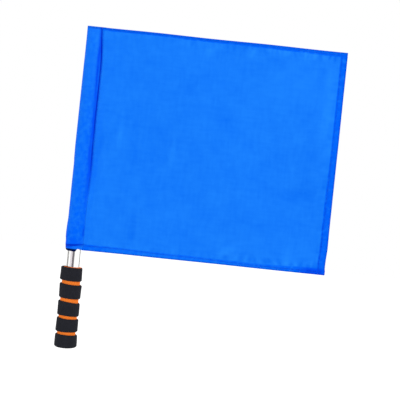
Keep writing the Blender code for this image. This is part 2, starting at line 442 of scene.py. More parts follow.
@dataclass(frozen=True)
class CutFoam(Finish):
    """Closed-cell foam rubber, cut and ground round: quite matt, with open cells like fine pits."""

    base: str = "#1B1C22"
    # Painted shade inside the open cells.
    shaded_pit: str = "#0B0B0F"
    dust: str = "#26272E"
    roughness: float = 0.85
    ior: float = 1.45
    specular: float = 0.15
    bump: float = 0.6
    depth: float = 0.12 * MM
    sunken: bool = True
    pit_shade: float = 0.45
    patch_spacing: float = 5.0 * MM
    # The real cells are about 0.2 mm across. They are drawn at 0.5 mm, to show in a close view.
    cell: float = 0.5 * MM

    def pattern(self, tree: Tree) -> dict[str, Socket]:
        """Pit the surface with open cells, with painted shade inside, and vary its tone in soft
        patches.

        Args:
            tree: The material's node tree.

        Returns:
            Sockets for the colour and the height.
        """
        place = add_node(tree, "TexCoord", "Object")
        patches = add_node(tree, "TexNoise", "Fac", {
            "Vector": place, "Scale": 1 / self.patch_spacing, "Detail": 3.0})
        toned = add_node(tree, "Mix", "Result", {
            "A": linear(self.base), "B": linear(self.dust), "Factor": patches}, data_type="RGBA")
        cells = add_node(tree, "TexVoronoi", "Distance", {
            "Vector": place, "Scale": 1 / self.cell})
        pits = add_node(tree, "MapRange", "Result", {
            "Value": cells, "From Min": 0.12, "From Max": 0.42, "To Min": 1.0, "To Max": 0.0})
        faint = add_node(tree, "Math", "Value", {0: pits, 1: self.pit_shade},
                         operation="MULTIPLY")
        colour = add_node(tree, "Mix", "Result", {
            "A": toned, "B": linear(self.shaded_pit), "Factor": faint}, data_type="RGBA")
        return {"Base Color": colour, "Height": pits}


BLACK_FOAM = CutFoam("ground_foam_rubber_black", "foam_black")
ORANGE_FOAM = CutFoam("skived_foam_rubber_orange", "foam_orange", base="#FF7C24", shaded_pit="#DE5210",
                      dust="#FF8C36")
POLYESTER = WovenPolyester()
THREAD = SewingThread()
STEEL = PolishedSteel()
PLUG_PLASTIC = MouldedPlastic()


class Bench:
    """Modelling steps shared by every piece, each done with the same operators as by hand."""

    @staticmethod
    def take(piece: Piece | None = None) -> None:
        """Leave edit mode, and select one piece alone or nothing.

        Args:
            piece: The piece to select and make active.
        """
        if bpy.context.mode != "OBJECT":
            bpy.ops.object.mode_set(mode="OBJECT")
        bpy.ops.object.select_all(action="DESELECT")
        if piece:
            piece.select_set(True)
            bpy.context.view_layer.objects.active = piece

    @staticmethod
    def named(name: str) -> Piece:
        """Name the piece just added and its mesh, and apply its place, turn and size.

        Args:
            name: Its name.

        Returns:
            The piece.
        """
        piece = bpy.context.active_object
        piece.name = piece.data.name = name
        Bench.take(piece)
        bpy.ops.object.transform_apply(location=True, rotation=True, scale=True)
        return piece

    @staticmethod
    def pick(piece: Piece, test: Callable[[Vector], bool]) -> None:
        """Select in edit mode the vertices whose place passes a test, and nothing else.

        Args:
            piece: The piece that is being edited.
            test: Takes a vertex's place.
        """
        bpy.ops.mesh.select_mode(type="VERT")
        bpy.ops.mesh.select_all(action="DESELECT")
        shape = bmesh.from_edit_mesh(piece.data)
        for vertex in shape.verts:
            vertex.select_set(test(vertex.co))
        shape.select_flush_mode()
        bmesh.update_edit_mesh(piece.data)

    @staticmethod
    def modify(piece: Piece, kind: str, **settings: object) -> None:
        """Give the piece a modifier and apply it.

        Args:
            piece: The piece.
            kind: The modifier's type, such as "SOLIDIFY".
            settings: Its properties.
        """
        Bench.take(piece)
        modifier = piece.modifiers.new(kind.title(), kind)
        for name, value in settings.items():
            setattr(modifier, name, value)
        bpy.ops.object.modifier_apply(modifier=modifier.name)

    @staticmethod
    def spin(name: str, outline: Outline, steps: int) -> Piece:
        """Turn a closed or axis-to-axis outline of (radius, height) points about Z.

        Args:
            name: The piece's name.
            outline: Its points in order.
            steps: Steps of a full turn.

        Returns:
            The turned piece.
        """
        Bench.take()
        bpy.ops.mesh.primitive_circle_add(vertices=len(outline), fill_type="NOTHING")
        piece = Bench.named(name)
        for vertex, (radius, height) in zip(piece.data.vertices, outline):
            vertex.co = (radius, 0.0, height)
        bpy.ops.object.mode_set(mode="EDIT")
        bpy.ops.mesh.select_all(action="SELECT")
        bpy.ops.mesh.spin(steps=steps, angle=2 * math.pi, center=(0, 0, 0), axis=(0, 0, 1))
        bpy.ops.mesh.select_all(action="SELECT")
        bpy.ops.mesh.remove_doubles(threshold=0.001 * MM)
        bpy.ops.mesh.normals_make_consistent(inside=False)
        bpy.ops.object.mode_set(mode="OBJECT")
        return piece

    @staticmethod
    def dress(piece: Piece, finish: Finish, body: Body, replaced: str | None = None,
              sharp_angle: float = math.radians(35)) -> None:
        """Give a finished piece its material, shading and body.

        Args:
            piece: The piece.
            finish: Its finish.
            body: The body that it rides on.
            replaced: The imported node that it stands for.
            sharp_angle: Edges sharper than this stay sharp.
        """
        Bench.take(piece)
        piece.data.materials.clear()
        piece.data.materials.append(finish.material())
        bpy.ops.object.shade_smooth_by_angle(angle=sharp_angle)
        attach(piece, body.value)
        if replaced:
            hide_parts(replaced)
        LOG.info("%s: %d faces", piece.name, len(piece.data.polygons))


@dataclass
class SteelPole:
    """The polished tube and the plugs in its ends."""

    steps: int = 128
    wall: float = 0.7 * MM
    end_round: float = 0.25 * MM
    dome_rim: float = 0.6 * MM
    dome_steps: int = 12
    head_edge: float = 0.8 * MM
    stem_length: float = 15.0 * MM
    stem_gap: float = 0.3 * MM
    rib_height: float = 0.9 * MM
    rib_width: float = 1.6 * MM
    rib_count: int = 3
    stem_wall: float = 1.6 * MM
    web: float = 2.0 * MM
    gate_radius: float = 1.6 * MM
    gate_depth: float = 0.35 * MM

    def build(self) -> None:
        """Make the tube and both plugs."""
        self.low, self.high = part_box("pole_tube")
        self.tube()
        self.top_plug()
        self.butt_plug()

    def tube(self) -> None:
        """Make the tube: an open cylinder given its wall, with lightly rounded ends."""
        low, high = self.low.z, self.high.z
        Bench.take()
        bpy.ops.mesh.primitive_cylinder_add(
            vertices=self.steps, radius=self.high.x, depth=high - low, end_fill_type="NOTHING",
            location=(0.0, 0.0, (low + high) / 2))
        piece = Bench.named("pole_tube_polished")
        Bench.modify(piece, "SOLIDIFY", thickness=self.wall, offset=-1.0)
        Bench.modify(piece, "BEVEL", width=self.end_round, segments=3, limit_method="ANGLE",
                     angle_limit=math.radians(60))
        Bench.dress(piece, STEEL, Body.POLE, "pole_tube")

    def top_plug(self) -> None:
        """Make the domed plug in the tube's upper end."""
        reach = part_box("top_plug")[1]
        seat = self.high.z + self.stem_gap
        rim = seat + self.dome_rim
        dome = [(reach.x * math.cos(angle), rim + (reach.z - rim) * math.sin(angle))
                for angle in np.radians(np.linspace(90, 0, self.dome_steps + 1)[1:])]
        self.plug("top_plug", [(0.0, reach.z)] + dome + [(reach.x, seat)], seat, -1.0)

    def butt_plug(self) -> None:
        """Make the flat plug in the tube's lower end, with the sunk mark of its mould's gate."""
        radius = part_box("butt_plug")[1].x
        seat = self.low.z - self.stem_gap
        gate = [(0.0, self.gate_depth), (self.gate_radius, self.gate_depth),
                (self.gate_radius + self.gate_depth, 0.0)]
        edge = rounded(radius - self.head_edge, self.head_edge, self.head_edge, 0)
        self.plug("butt_plug", gate + edge[::-1] + [(radius, seat)], seat, 1.0)

    def plug(self, node: str, head: Outline, seat: float, way: float) -> None:
        """Turn a plug from its head and a ribbed hollow stem.

        Args:
            node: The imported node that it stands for.
            head: Outline of the head, from the axis to the rim at the seat.
            seat: Height where the stem starts.
            way: 1 where the stem goes up from there, -1 where it goes down.
        """
        rib = self.high.x - self.wall - self.stem_gap
        stem = rib - self.rib_height
        inside = stem - self.stem_wall
        pitch = self.stem_length / (self.rib_count + 1)
        points = [(stem, 0.0)]
        for number in range(1, self.rib_count + 1):
            near = pitch * number - self.rib_width / 2
            points += [(stem, near), (rib, near), (stem, near + self.rib_width)]
        points += [(stem, self.stem_length), (inside, self.stem_length), (inside, self.web),
                   (0.0, self.web)]
        outline = head + [(radius, seat + way * along) for radius, along in points]
        piece = Bench.spin(node + "_moulded", outline, self.steps // 2)
        Bench.dress(piece, PLUG_PLASTIC, Body.POLE, node)


@dataclass(frozen=True)
class RingCut:
    """How one foam ring departs from a true ring, as it was cut and ground by hand.

    Attributes (lengths in millimetres, each pair for its upper and its lower end):
        slopes: Rise of each face across the ring, left to right, as a share.
        bows: How much lower each face is at the sides than in the middle.
        lifts: How much higher each face is.
        flares: How far each edge stands out.
        edge: Radius of its lower edge.
        shift: Its shift to the right.
        swell: How much wider it is all round.
    """

    slopes: Pair
    bows: Pair
    lifts: Pair
    flares: Pair
    edge: float
    shift: float
    swell: float


@dataclass
class FoamGrip:
    """The orange foam core and the five black rings bonded to it."""

    steps: int = 144
    core_rows: int = 110
    ring_rows: int = 22
    edge_steps: int = 5
    upper_edge: float = 1.5 * MM
    core_edge: float = 0.5 * MM
    bond: float = 0.05 * MM
    grain_depth: float = 0.10 * MM
    grain_size: float = 1.4 * MM
    # Waves round a ring's side: their height, number, turn from ring to ring and turn upwards.
    waver: Course = course((0.18, 2, 1.9, 2.2), (0.09, 5, 2.7, -3.1), lengths=1)
    cuts: tuple[RingCut, ...] = (
        RingCut((-0.030, -0.041), (-0.10, 0.10), (0.05, -0.55), (0.0, 0.25), 2.0, -0.65, 0.08),
        RingCut((-0.079, -0.045), (0.08, 0.05), (0.50, -0.62), (0.25, -0.25), 1.9, 0.05, 0.40),
        RingCut((-0.107, -0.042), (0.65, 0.75), (0.70, -0.25), (-0.05, 0.25), 2.3, -0.08, 0.05),
        RingCut((-0.061, 0.010), (-0.20, 0.38), (0.60, -0.42), (0.0, 0.20), 2.3, 0.02, 0.20),
        RingCut((-0.037, -0.004), (0.42, -0.42), (0.72, -0.30), (-0.45, 0.0), 2.6, 0.25, 0.50),
    )

    def __post_init__(self) -> None:
        """Make the grain that every foam piece is roughened with."""
        self.grain = bpy.data.textures.new("foam_grain", "CLOUDS")
        self.grain.noise_scale = self.grain_size
        self.grain.noise_depth = 2

    def build(self) -> None:
        """Make the core, a foam sleeve on the tube, and the rings on it."""
        low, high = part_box("grip_core")
        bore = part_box("pole_tube")[1].x + self.bond
        edge = self.core_edge
        top = rounded(high.x - edge, high.z - edge, edge, 90)
        bottom = rounded(high.x - edge, low.z + edge, edge, 0)
        outline = self.sleeve(bore, top, bottom, self.core_rows)
        self.finish(Bench.spin("grip_core_foam", outline, self.steps), bore, ORANGE_FOAM)
        for number, cut in enumerate(self.cuts, start=1):
            self.ring(number, cut, high.x + self.bond)

    @staticmethod
    def sleeve(bore: float, top: Outline, bottom: Outline, rows: int) -> Outline:
        """Outline of a sleeve with rounded edges and a side of many rows.

        Args:
            bore: Radius of its bore.
            top: Its upper edge, from its upper face out and down.
            bottom: Its lower edge, the same way on.
            rows: Rows of its side.

        Returns:
            The whole outline.
        """
        heights = np.linspace(top[-1][1], bottom[0][1], rows + 1)[1:-1]
        side = [(top[-1][0], float(height)) for height in heights]
        return [(bore, top[0][1])] + top + side + bottom + [(bore, bottom[-1][1])]

    def ring(self, number: int, cut: RingCut, bore: float) -> None:
        """Make one ring with soft edges, and then cut it as unevenly as the real one.

        Args:
            number: Its number, from the top down.
            cut: How it departs from a true ring.
            bore: Radius of its bore.
        """
        low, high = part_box(f"grip_ring_{number}")
        radius = (high.x - low.x - self.grain_depth) / 2
        edge = cut.edge * MM
        top = rounded(radius - self.upper_edge, high.z - self.upper_edge, self.upper_edge, 90,
                      self.edge_steps)
        bottom = rounded(radius - edge, low.z + edge, edge, 0, self.edge_steps)
        outline = self.sleeve(bore, top, bottom, self.ring_rows)
        piece = Bench.spin(f"grip_ring_{number}_foam", outline, self.steps)
        for vertex in piece.data.vertices:
            vertex.co = self.cut_place(vertex.co, cut, number, (low.z, high.z), (bore, radius))
        self.finish(piece, bore, BLACK_FOAM)

    def cut_place(self, place: Vector, cut: RingCut, number: int, heights: Pair,
                  radii: Pair) -> Vector:
        """Place of a ring's point once its faces slope, its edges flare and its side wavers.

        Args:
            place: The point on the true ring.
            cut: How the ring departs from a true one.
            number: Its number, which turns its unevenness.
            heights: Heights of its lower and upper face.
            radii: Radii of its bore, which stays true, and of its side.

        Returns:
            The point on the cut ring.
        """
        radius = math.hypot(place.x, place.y)
        turn = math.atan2(place.y, place.x)
        share = (place.z - heights[0]) / (heights[1] - heights[0])
        outward = max((radius - radii[0]) / (radii[1] - radii[0]), 0.0)
        flare = MM * (cut.swell + cut.flares[1] * (1 - share) ** 3 + cut.flares[0] * share ** 3)
        uneven = sum(size * math.sin(waves * turn + apart * number + upward * share)
                     for size, waves, apart, upward in self.waver)
        grown = (radius + outward * (flare + uneven)) / radius
        slope, bow, lift = (lower + (upper - lower) * share
                            for upper, lower in (cut.slopes, cut.bows, cut.lifts))
        raised = slope * place.x + MM * (lift - bow * (place.x / radii[1]) ** 2)
        return Vector((place.x * grown + outward * cut.shift * MM, place.y * grown,
                       place.z + raised))

    def finish(self, piece: Piece, bore: float, foam: CutFoam) -> None:
        """Raise the foam's grain on all but the bore, and dress the piece.

        Args:
            piece: The core or a ring.
            bore: Radius of its bore.
            foam: Its finish.
        """
        ground = piece.vertex_groups.new(name="ground")
        ground.add([vertex.index for vertex in piece.data.vertices
                    if math.hypot(vertex.co.x, vertex.co.y) > bore + self.bond], 1.0, "REPLACE")
        Bench.modify(piece, "DISPLACE", texture=self.grain, texture_coords="LOCAL",
                     strength=self.grain_depth, mid_level=0.5, vertex_group=ground.name)
        Bench.dress(piece, foam, Body.POLE, piece.name.removesuffix("_foam"))


class Zone(Enum):
    """Stretches of the cloth's horizontal section, from the seam's raw edge to the fly's."""

    SEAM_TUCK = "turned-under edge behind the seam"
    SEAM_FOLD = "fold of that edge"
    ALLOWANCE = "allowance behind the seam"
    SLEEVE = "round the pole"
    FIELD = "single layer"
    FLY_FOLD = "fold of the fly edge"
    FLY_BACK = "fly hem's outer layer at the back"
    FLY_TUCK_FOLD = "fold of the fly hem's raw edge"
    FLY_TUCK = "fly hem's inner layer"


@dataclass(frozen=True)
class Ripple:
    """One soft ridge or hollow of the cloth along a straight line.

    Attributes:
        across: Its middle, from the pole's axis.
        height: Its middle, above the cloth's lower edge.
        length: Half its length.
        width: Half its width.
        rise: How far it stands out to the front. A hollow's is negative.
        lean: Its line's angle from upright, in degrees, positive to the right.
        tone: How much painted light it adds to the field's colour there, painted shade where
            negative; on the sleeve's wrinkles, how much painted shade.
    """

    across: float
    height: float
    length: float
    width: float
    rise: float
    lean: float
    tone: float

    def share(self, x: Array, z: Array) -> Array:
        """Share of it that each place has.

        Args:
            x: Distance across of each place.
            z: Its height above the cloth's lower edge.

        Returns:
            Shares from 0 to 1.
        """
        cos, sin = math.cos(math.radians(self.lean)), math.sin(math.radians(self.lean))
        along = (x - self.across) * sin + (z - self.height) * cos
        beside = (x - self.across) * cos - (z - self.height) * sin
        return np.exp(-(along / self.length) ** 2 - (beside / self.width) ** 2)


@dataclass
class FlagCloth:
    """The flag's one piece of polyester: field, twice-turned hems and the sewn sleeve.

    The cloth is one grid. Its rows go up, through the folds of the bottom and top hems. Its
    columns go from the raw edge behind the seam, round the pole, over the field and through the
    folds of the fly hem. A layer inside a fold lies one pitch from the next.
    """

    UV_NAME = "cloth_threads"

    height: float = 300.0 * MM
    lean: float = math.radians(0.6)
    drop: float = 0.2 * MM
    thickness: float = 0.20 * MM
    pitch: float = 0.26 * MM
    top_hem: float = 4.9 * MM
    bottom_hem: float = 7.4 * MM
    hem_step: float = 0.8 * MM
    allowance: float = 8.0 * MM
    raw_stop: float = 1.0 * MM
    sleeve_gap: float = 0.08 * MM
    sleeve_columns: int = 80
    field_spacing: float = 1.6 * MM
    # Heights between the folded edges, each with the number of rows that leads to it.
    row_stops: Course = course(
        (2, 6), (12, 12), (48, 20), (287, 62), (297, 12), (299, 6), lengths=1)
    settle_run: float = 70.0 * MM
    # The ridge beyond the seam's stitches: its place, half width and height.
    ridge: Triple = (3.0 * MM, 1.8 * MM, 0.35 * MM)
    wave_depth: float = 1.2 * MM
    wave_length: float = 150.0 * MM
    wave_lean: float = 0.6
    ridge_start: float = 2.0 * MM
    front_fade: float = 2.0 * MM
    mouth_height: float = 1.5 * MM
    seam_hold: float = 10.0 * MM
    seed: int = 4
    seam_clearance: float = 1.0005
    wrinkle_end: float = 0.93
    wrinkle_fade: float = 0.1
    # Puckers: from where to where before the edge, and ranges of their strength, their lean in
    # degrees, half length and half width, and of the way to the next.
    pucker_strength: Pair = (0.3, 1.0)
    pucker_jitter: float = 2.0 * MM
    hem_stretch: Pair = (22.0 * MM, 8.0 * MM)
    hem_ranges: Course = ((-32, 28), (0.003, 0.008), (0.0016, 0.0030), (0.005, 0.009))
    fly_stretch: Pair = (12.0 * MM, 10.0 * MM)
    fly_ranges: Course = ((65, 115), (0.003, 0.007), (0.0020, 0.0032), (0.006, 0.010))
    # Their distance from the edge, their rise in millimetres, how much more it is at the hem's
    # end, and their painted light for each millimetre of rise, which is painted shade where they
    # sink.
    bottom_puckers: tuple[float, ...] = (9.0 * MM, 0.14, 0.30, 1.5)
    top_puckers: tuple[float, ...] = (8.0 * MM, 0.08, 0.42, 1.5)
    fly_puckers: tuple[float, ...] = (11.0 * MM, 0.34, -0.14, 1.0)
    # Height above the lower edge, and width of the fly hem.
    fly_hem_course: Course = course((0, 10.7), (80, 10.3), (150, 9.4), (210, 8.8), (300, 8.8))
    # Height above the lower edge, and how far the fly is drawn in there.
    fly_course: Course = course(
        (5, 0), (9, 0.8), (16, 0.7), (22, 0.5), (29, 0.05), (35, -0.25), (46, -0.1), (60, 0.1),
        (106, 0.25), (148, 0.2), (172, 0), (210, -0.15), (262, -0.2), (290, -0.1))
    # Distance from the pole's axis, and how far inside the edge the hem's stitches lie.
    top_stitch_course: Course = course((0, 2.6), (200, 2.9), (280, 3.4), (340, 3.9))
    bottom_stitch_course: Course = course(
        (-12, 4.9), (6, 5), (20, 6.3), (40, 6.7), (70, 6.4), (100, 5.7), (170, 5.1), (240, 3.7),
        (337, 4))
    # Height above the lower edge, and how far inside the fly its stitches lie.
    fly_stitch_course: Course = course((0, 9.1), (60, 8.7), (120, 8.1), (160, 7.5), (300, 7.3))
    # Height above the lower edge, and distance of the hoist's fold from the axis.
    fold_course: Course = course(
        (0, 11.45), (1, 11.62), (2.5, 11.72), (4.5, 11.92), (6.5, 12.2), (10, 12.15),
        (13, 12.25), (19, 12.55), (24.5, 12.65), (29.5, 12.5), (35, 12.2), (40, 11.75),
        (46, 11.6), (57, 11.65), (62, 11.5), (80, 11.5), (95, 11.35), (111, 11.15), (116, 11.1),
        (122, 11.45), (138, 11.55), (155, 11.4), (170, 11.2), (192, 10.95), (213, 10.7),
        (235, 10.45), (251, 10.25), (262, 10.05), (278, 9.95), (300, 9.95))
    # Height above the lower edge, the seam's distance across, and its turn round the axis.
    seam_course: Course = course(
        (0, 11.2, -24), (23, 11.6, -27), (32, 11.6, -27), (41, 11.3, -27), (59, 11.5, -25),
        (68, 11.9, -22), (77, 12.3, -18), (86, 12.7, -12), (104, 13.3, -4), (122, 13.1, 0),
        (140, 12.7, 0), (160, 13, 0), (180, 12.8, 0), (210, 13.3, 0), (248, 13.6, 0),
        (257, 13.4, 0), (266, 12.9, 0), (275, 12.2, 0), (284, 11.4, 0), (293, 10.8, 0),
        (300, 10.4, 0))
    # Distance across on the sleeve's front, and how far its lower edge hangs down there.
    mouth_course: Course = course(
        (-12.1, -1.2), (-11.4, -1), (-10.8, 0.4), (-10.1, 1.2), (-8.8, 1.8), (-3.4, 2.05),
        (0.5, 2.35), (2.2, 2.4), (3.2, 2), (4, 0.9), (4.6, -0.6), (5, -1.2), (8.5, -1.3),
        (10.5, -0.2), (11.5, 0))
    # Folds and hollows where the real cloth has them, and wrinkles of the loose sleeve. The last
    # column is painted light on the field, shade where negative, and painted shade on the sleeve.
    folds: Course = course(
        (46.8, 157, 17, 3.8, 0.9, 4, 0.30), (119, 145, 19, 4, 0.8, 4, 0.36),
        (96, 150, 28, 14, -0.9, 0, -0.24), (68.5, 142, 30, 7, -0.6, 0, -0.18),
        (21.1, 138, 30, 4.5, -0.5, 2, -0.22), (287.7, 103, 28, 10, -0.8, 84, -0.28),
        (131.7, 229, 9, 8, -0.5, 30, -0.22), (187.4, 195, 10, 6, -0.4, 80, -0.15),
        (204.2, 18, 12, 6, 0.8, 70, 0.40), (284, 17, 12, 7, 0.7, 20, 0.40),
        (321, 222, 55, 8, 0.6, 1, 0.35), (280, 250, 70, 40, 0.3, 70, 0.14),
        (156.3, 283, 7, 4.5, 0.4, 60, 0.30), (212.7, 284, 7, 4.5, 0.4, 70, 0.35),
        (74.5, 36, 24, 4.2, -0.7, 1, -0.28), (312, 272, 16, 5, -0.7, 24, -0.20),
        (245, 200, 80, 30, 1, 24, 0.05), (316, 9, 12, 2.8, -0.4, 90, -0.60),
        lengths=5)
    sleeve_folds: Course = course(
        (-8, 19, 8, 2, 0.5, 60, 0.25), (-4, 27, 10, 2, 0.6, 55, 0.20),
        (1, 35, 10, 2.2, 0.7, 50, 0.15), (4, 45, 9, 2.2, 0.4, 40, 0),
        (-3, 12, 6, 4, -0.3, 80, 0.50), (0, 6.5, 11, 1.2, -0.4, 80, 0.30),
        (-3, 293.5, 6, 1.2, 0.4, 84, 0.15), (-3, 289, 6, 1.2, 0.3, 80, 0),
        lengths=5)

    def __post_init__(self) -> None:
        """Read the frame's sizes and place the ripples."""
        low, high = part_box("flag_cloth")
        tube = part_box("pole_tube")[1]
        self.slope = math.tan(self.lean)
        self.tube_radius = tube.x
        self.fly = high.x - self.slope * self.height
        self.bottom = low.z + self.slope * self.fly - self.drop
        self.closing = self.bottom + self.height - tube.z
        self.ripples = [Ripple(*row) for row in self.folds] + self.hem_puckers()
        self.wrinkles = [Ripple(*row) for row in self.sleeve_folds]

    def hem_puckers(self) -> list[Ripple]:
        """Small puckers that the stitching draws into the cloth beside each hem.

        Returns:
            The puckers of the bottom and top hems, which grow towards the fly, and of the fly.
        """
        chance = np.random.default_rng(self.seed)
        puckers = []
        x, end = self.hem_stretch
        while x < self.fly - end:
            low = self.bottom_puckers[0] + chance.uniform(0, self.pucker_jitter)
            high = self.height - self.top_puckers[0]
            for z, (_, rise, more, tone) in ((low, self.bottom_puckers), (high, self.top_puckers)):
                rise += more * (x / self.fly) ** 2
                puckers.append(self.pucker(chance, x, z, rise, tone, self.hem_ranges))
            x += chance.uniform(*self.hem_ranges[3])
        inset, rise, more, tone = self.fly_puckers
        z, end = self.fly_stretch
        while z < self.height - end:
            puckers.append(self.pucker(chance, self.fly - inset, z, rise + more * z / self.height,
                                       tone, self.fly_ranges))
            z += chance.uniform(*self.fly_ranges[3])
        return puckers

    def pucker(self, chance: np.random.Generator, x: float, z: float, rise: float, tone: float,
               ranges: Course) -> Ripple:
        """Draw one pucker's form by chance.

        Args:
            chance: The source of the draws.
            x: Its distance across.
            z: Its height.
            rise: The most that it rises, in millimetres.
            tone: How much painted light it gets with each of these, painted shade where it sinks.
            ranges: Ranges of its lean, half length and half width.

        Returns:
            The pucker.
        """
        rise *= chance.uniform(*self.pucker_strength) * chance.choice([-1, 1])
        lean, length, width = (chance.uniform(*limits) for limits in ranges[:3])
        return Ripple(x, z, length, width, rise * MM, lean, tone * rise)

    def hem_rows(self, hem: float) -> Outline:
        """Rows of a twice-turned hem, from its raw edge out to where the field begins.

        Args:
            hem: The hem's width.

        Returns:
            (distance from the hem's outer edge, depth behind the face) of each row.
        """
        pitch = self.pitch
        inner = hem - pitch / 2
        rows = [(self.raw_stop, pitch), ((self.raw_stop + hem) / 2, pitch), (inner, pitch)]
        for angle in np.radians((-45, 0, 45)):
            rows.append((inner + pitch / 2 * math.cos(angle),
                         pitch * 1.5 + pitch / 2 * math.sin(angle)))
        rows += [(inner, 2 * pitch), ((hem + pitch) / 2, 2 * pitch), (pitch, 2 * pitch)]
        for angle in np.radians((60, 30, 0, -30, -60)):
            rows.append((pitch - pitch * math.cos(angle), pitch + pitch * math.sin(angle)))
        return rows + [(pitch, 0.0)]

    def rows(self) -> tuple[Array, Array]:
        """List the rows from the bottom hem's raw edge up.

        Returns:
            Height of each row, and its depth behind the face.
        """
        rows = self.hem_rows(self.bottom_hem)
        for end, steps in self.row_stops:
            rows += [(height, 0.0) for height in np.linspace(rows[-1][0], end, steps + 1)[1:]]
        rows += [(self.height - out, depth) for out, depth in reversed(self.hem_rows(self.top_hem))]
        return tuple(np.array(rows).T)

    def columns(self) -> list[tuple[Zone, float]]:
        """List the columns from the seam's raw edge to the fly's.

        Returns:
            Zone of each column and its share along the zone.
        """
        turned = (0.2, 0.4, 0.6, 0.8)
        near_seam = (0.0015, 0.0035, 0.006, 0.009, 0.0125, 0.0165)
        near_fly = (0.971, 0.9745, 0.978, 0.9815, 0.985, 0.9885, 0.992, 0.995, 0.9972, 0.9988, 1.0)
        even = np.linspace(0.0205, 0.9675, round((self.fly - 20 * MM) / self.field_spacing))
        shares = {
            Zone.SEAM_TUCK: (0.0, 0.5, 1.0),
            Zone.SEAM_FOLD: turned,
            Zone.ALLOWANCE: np.arange(6) / 6,
            Zone.SLEEVE: np.arange(self.sleeve_columns + 1) / self.sleeve_columns,
            Zone.FIELD: (*near_seam, *even, *near_fly),
            Zone.FLY_FOLD: turned,
            Zone.FLY_BACK: np.arange(7) / 6,
            Zone.FLY_TUCK_FOLD: turned,
            Zone.FLY_TUCK: (0.0, 0.5, 1.0),
        }
        return [(zone, share) for zone, along in shares.items() for share in along]

    def stack(self, heights: Array) -> Array:
        """Pitch between folded stacks at each height: of three layers in a hem, else of one."""
        inside = np.minimum(heights - self.bottom_hem, self.height - heights - self.top_hem)
        return self.pitch * (3 - 2 * smooth_step(inside / self.hem_step))

    def fly_edge(self, heights: Array) -> Array:
        """Distance across of the fly's folded edge at each height."""
        return self.fly + self.slope * heights - follow(self.fly_course, heights)

    def seam(self, heights: Array) -> tuple[Array, Array]:
        """Place of the seam at each height, as its distance across and its depth."""
        across = follow(self.seam_course, heights)
        return across, across * np.tan(np.radians(follow(self.seam_course, heights, 2)))

    def sleeve_section(self, share: float, heights: Array) -> tuple[Array, Array]:
        """Middle of the sleeve's cloth at one share of its way round, from the seam behind.

        It leaves the seam straight, lies round the tube and bulges at the hoist. Above the tube
        it closes to a flat double layer.

        Args:
            share: Share of the way round.
            heights: Heights above the lower edge.

        Returns:
            Arrays of x and y.
        """
        stack = self.stack(heights)
        seam_x, seam_y = self.seam(heights)
        behind = 3 * stack - self.pitch
        radius = self.tube_radius + self.sleeve_gap + stack - self.pitch + self.thickness / 2
        fold_reach = follow(self.fold_course, heights) - self.thickness / 2
        runs, turns = [], []
        for depth in (seam_y + behind, seam_y):
            # The seam is kept just outside the round that the cloth leaves for it.
            reach = np.maximum(np.hypot(seam_x, depth), radius * self.seam_clearance)
            runs.append(np.sqrt(reach ** 2 - radius ** 2))
            turns.append((np.arctan2(depth, seam_x), np.arccos(radius / reach)))
        start = turns[0][0] + turns[0][1]
        sweep = 2 * np.pi + turns[1][0] - turns[1][1] - start
        round_run = radius * sweep
        done = share * (runs[0] + round_run + runs[1])
        turn = start + np.clip((done - runs[0]) / radius, 0.0, sweep)
        reach = radius + (fold_reach - radius) * np.clip(-np.cos(turn), 0.0, 1.0) ** 2
        x, y = reach * np.cos(turn), reach * np.sin(turn)
        to_back = np.clip(1 - done / runs[0], 0.0, 1.0)
        to_front = np.clip((done - runs[0] - round_run) / runs[1], 0.0, 1.0)
        x = x + (seam_x - x) * (to_back + to_front)
        y = y + (seam_y + behind - y) * to_back + (seam_y - y) * to_front
        fold_radius = behind / 2
        from_fold = np.abs(share - 0.5) * 2 * (seam_x + fold_reach)
        flat_x = np.maximum(from_fold - fold_radius / 2, 0.0) - fold_reach
        out = np.clip(from_fold / fold_radius, 0.0, 1.0)
        side = 1 if share < 0.5 else -1
        flat_y = seam_y + fold_radius + fold_radius * np.sqrt(out * (2 - out)) * side
        openness = np.sin(np.clip((self.height - heights) / self.closing, 0.0, 1.0) * np.pi / 2)
        return flat_x + (x - flat_x) * openness, flat_y + (y - flat_y) * openness

    def section(self, zone: Zone, share: float, heights: Array) -> tuple[Array, ...]:
        """Middle of the cloth in one column before the relief, with the way to its wrong side.

        Args:
            zone: The stretch that the column is in.
            share: How far along the stretch it lies, from 0 to 1, or an array of this.
            heights: Heights above the lower edge.

        Returns:
            Arrays of x, y and the x and y of a unit vector towards the wrong side.
        """
        stack, pitch = self.stack(heights), self.pitch
        seam_x, seam_y = self.seam(heights)
        fly = self.fly_edge(heights)
        outer = 3 * stack - pitch
        half = outer / 2
        still = np.zeros_like(heights)
        if zone is Zone.SLEEVE:
            step = 0.002
            x, y = self.sleeve_section(share, heights)
            before_x, before_y = self.sleeve_section(max(share - step, 0.0), heights)
            after_x, after_y = self.sleeve_section(min(share + step, 1.0), heights)
            run = np.hypot(after_x - before_x, after_y - before_y)
            return x, y, (before_y - after_y) / run, (after_x - before_x) / run
        if zone is Zone.FIELD:
            x = seam_x + (fly - half - seam_x) * share
            return x, self.settled(x - seam_x, seam_y), still, still + 1
        if zone is Zone.FLY_FOLD:
            cos, sin = math.cos(math.pi * (share - 0.5)), math.sin(math.pi * (share - 0.5))
            base = self.settled(fly - seam_x, seam_y) + half
            return fly - half + half * cos, base + half * sin, still - cos, still - sin
        at_fly = zone in (Zone.FLY_BACK, Zone.FLY_TUCK_FOLD, Zone.FLY_TUCK)
        outward = 1.0 if at_fly else -1.0
        edge = fly if at_fly else seam_x
        inner = fly - follow(self.fly_hem_course, heights) if at_fly else seam_x + self.allowance
        place = share if at_fly else 1 - share
        if zone in (Zone.FLY_BACK, Zone.ALLOWANCE):
            start = edge - half * at_fly
            x = start + (inner - start) * place
            return x, self.settled(x - seam_x, seam_y) + outer, still, still - 1
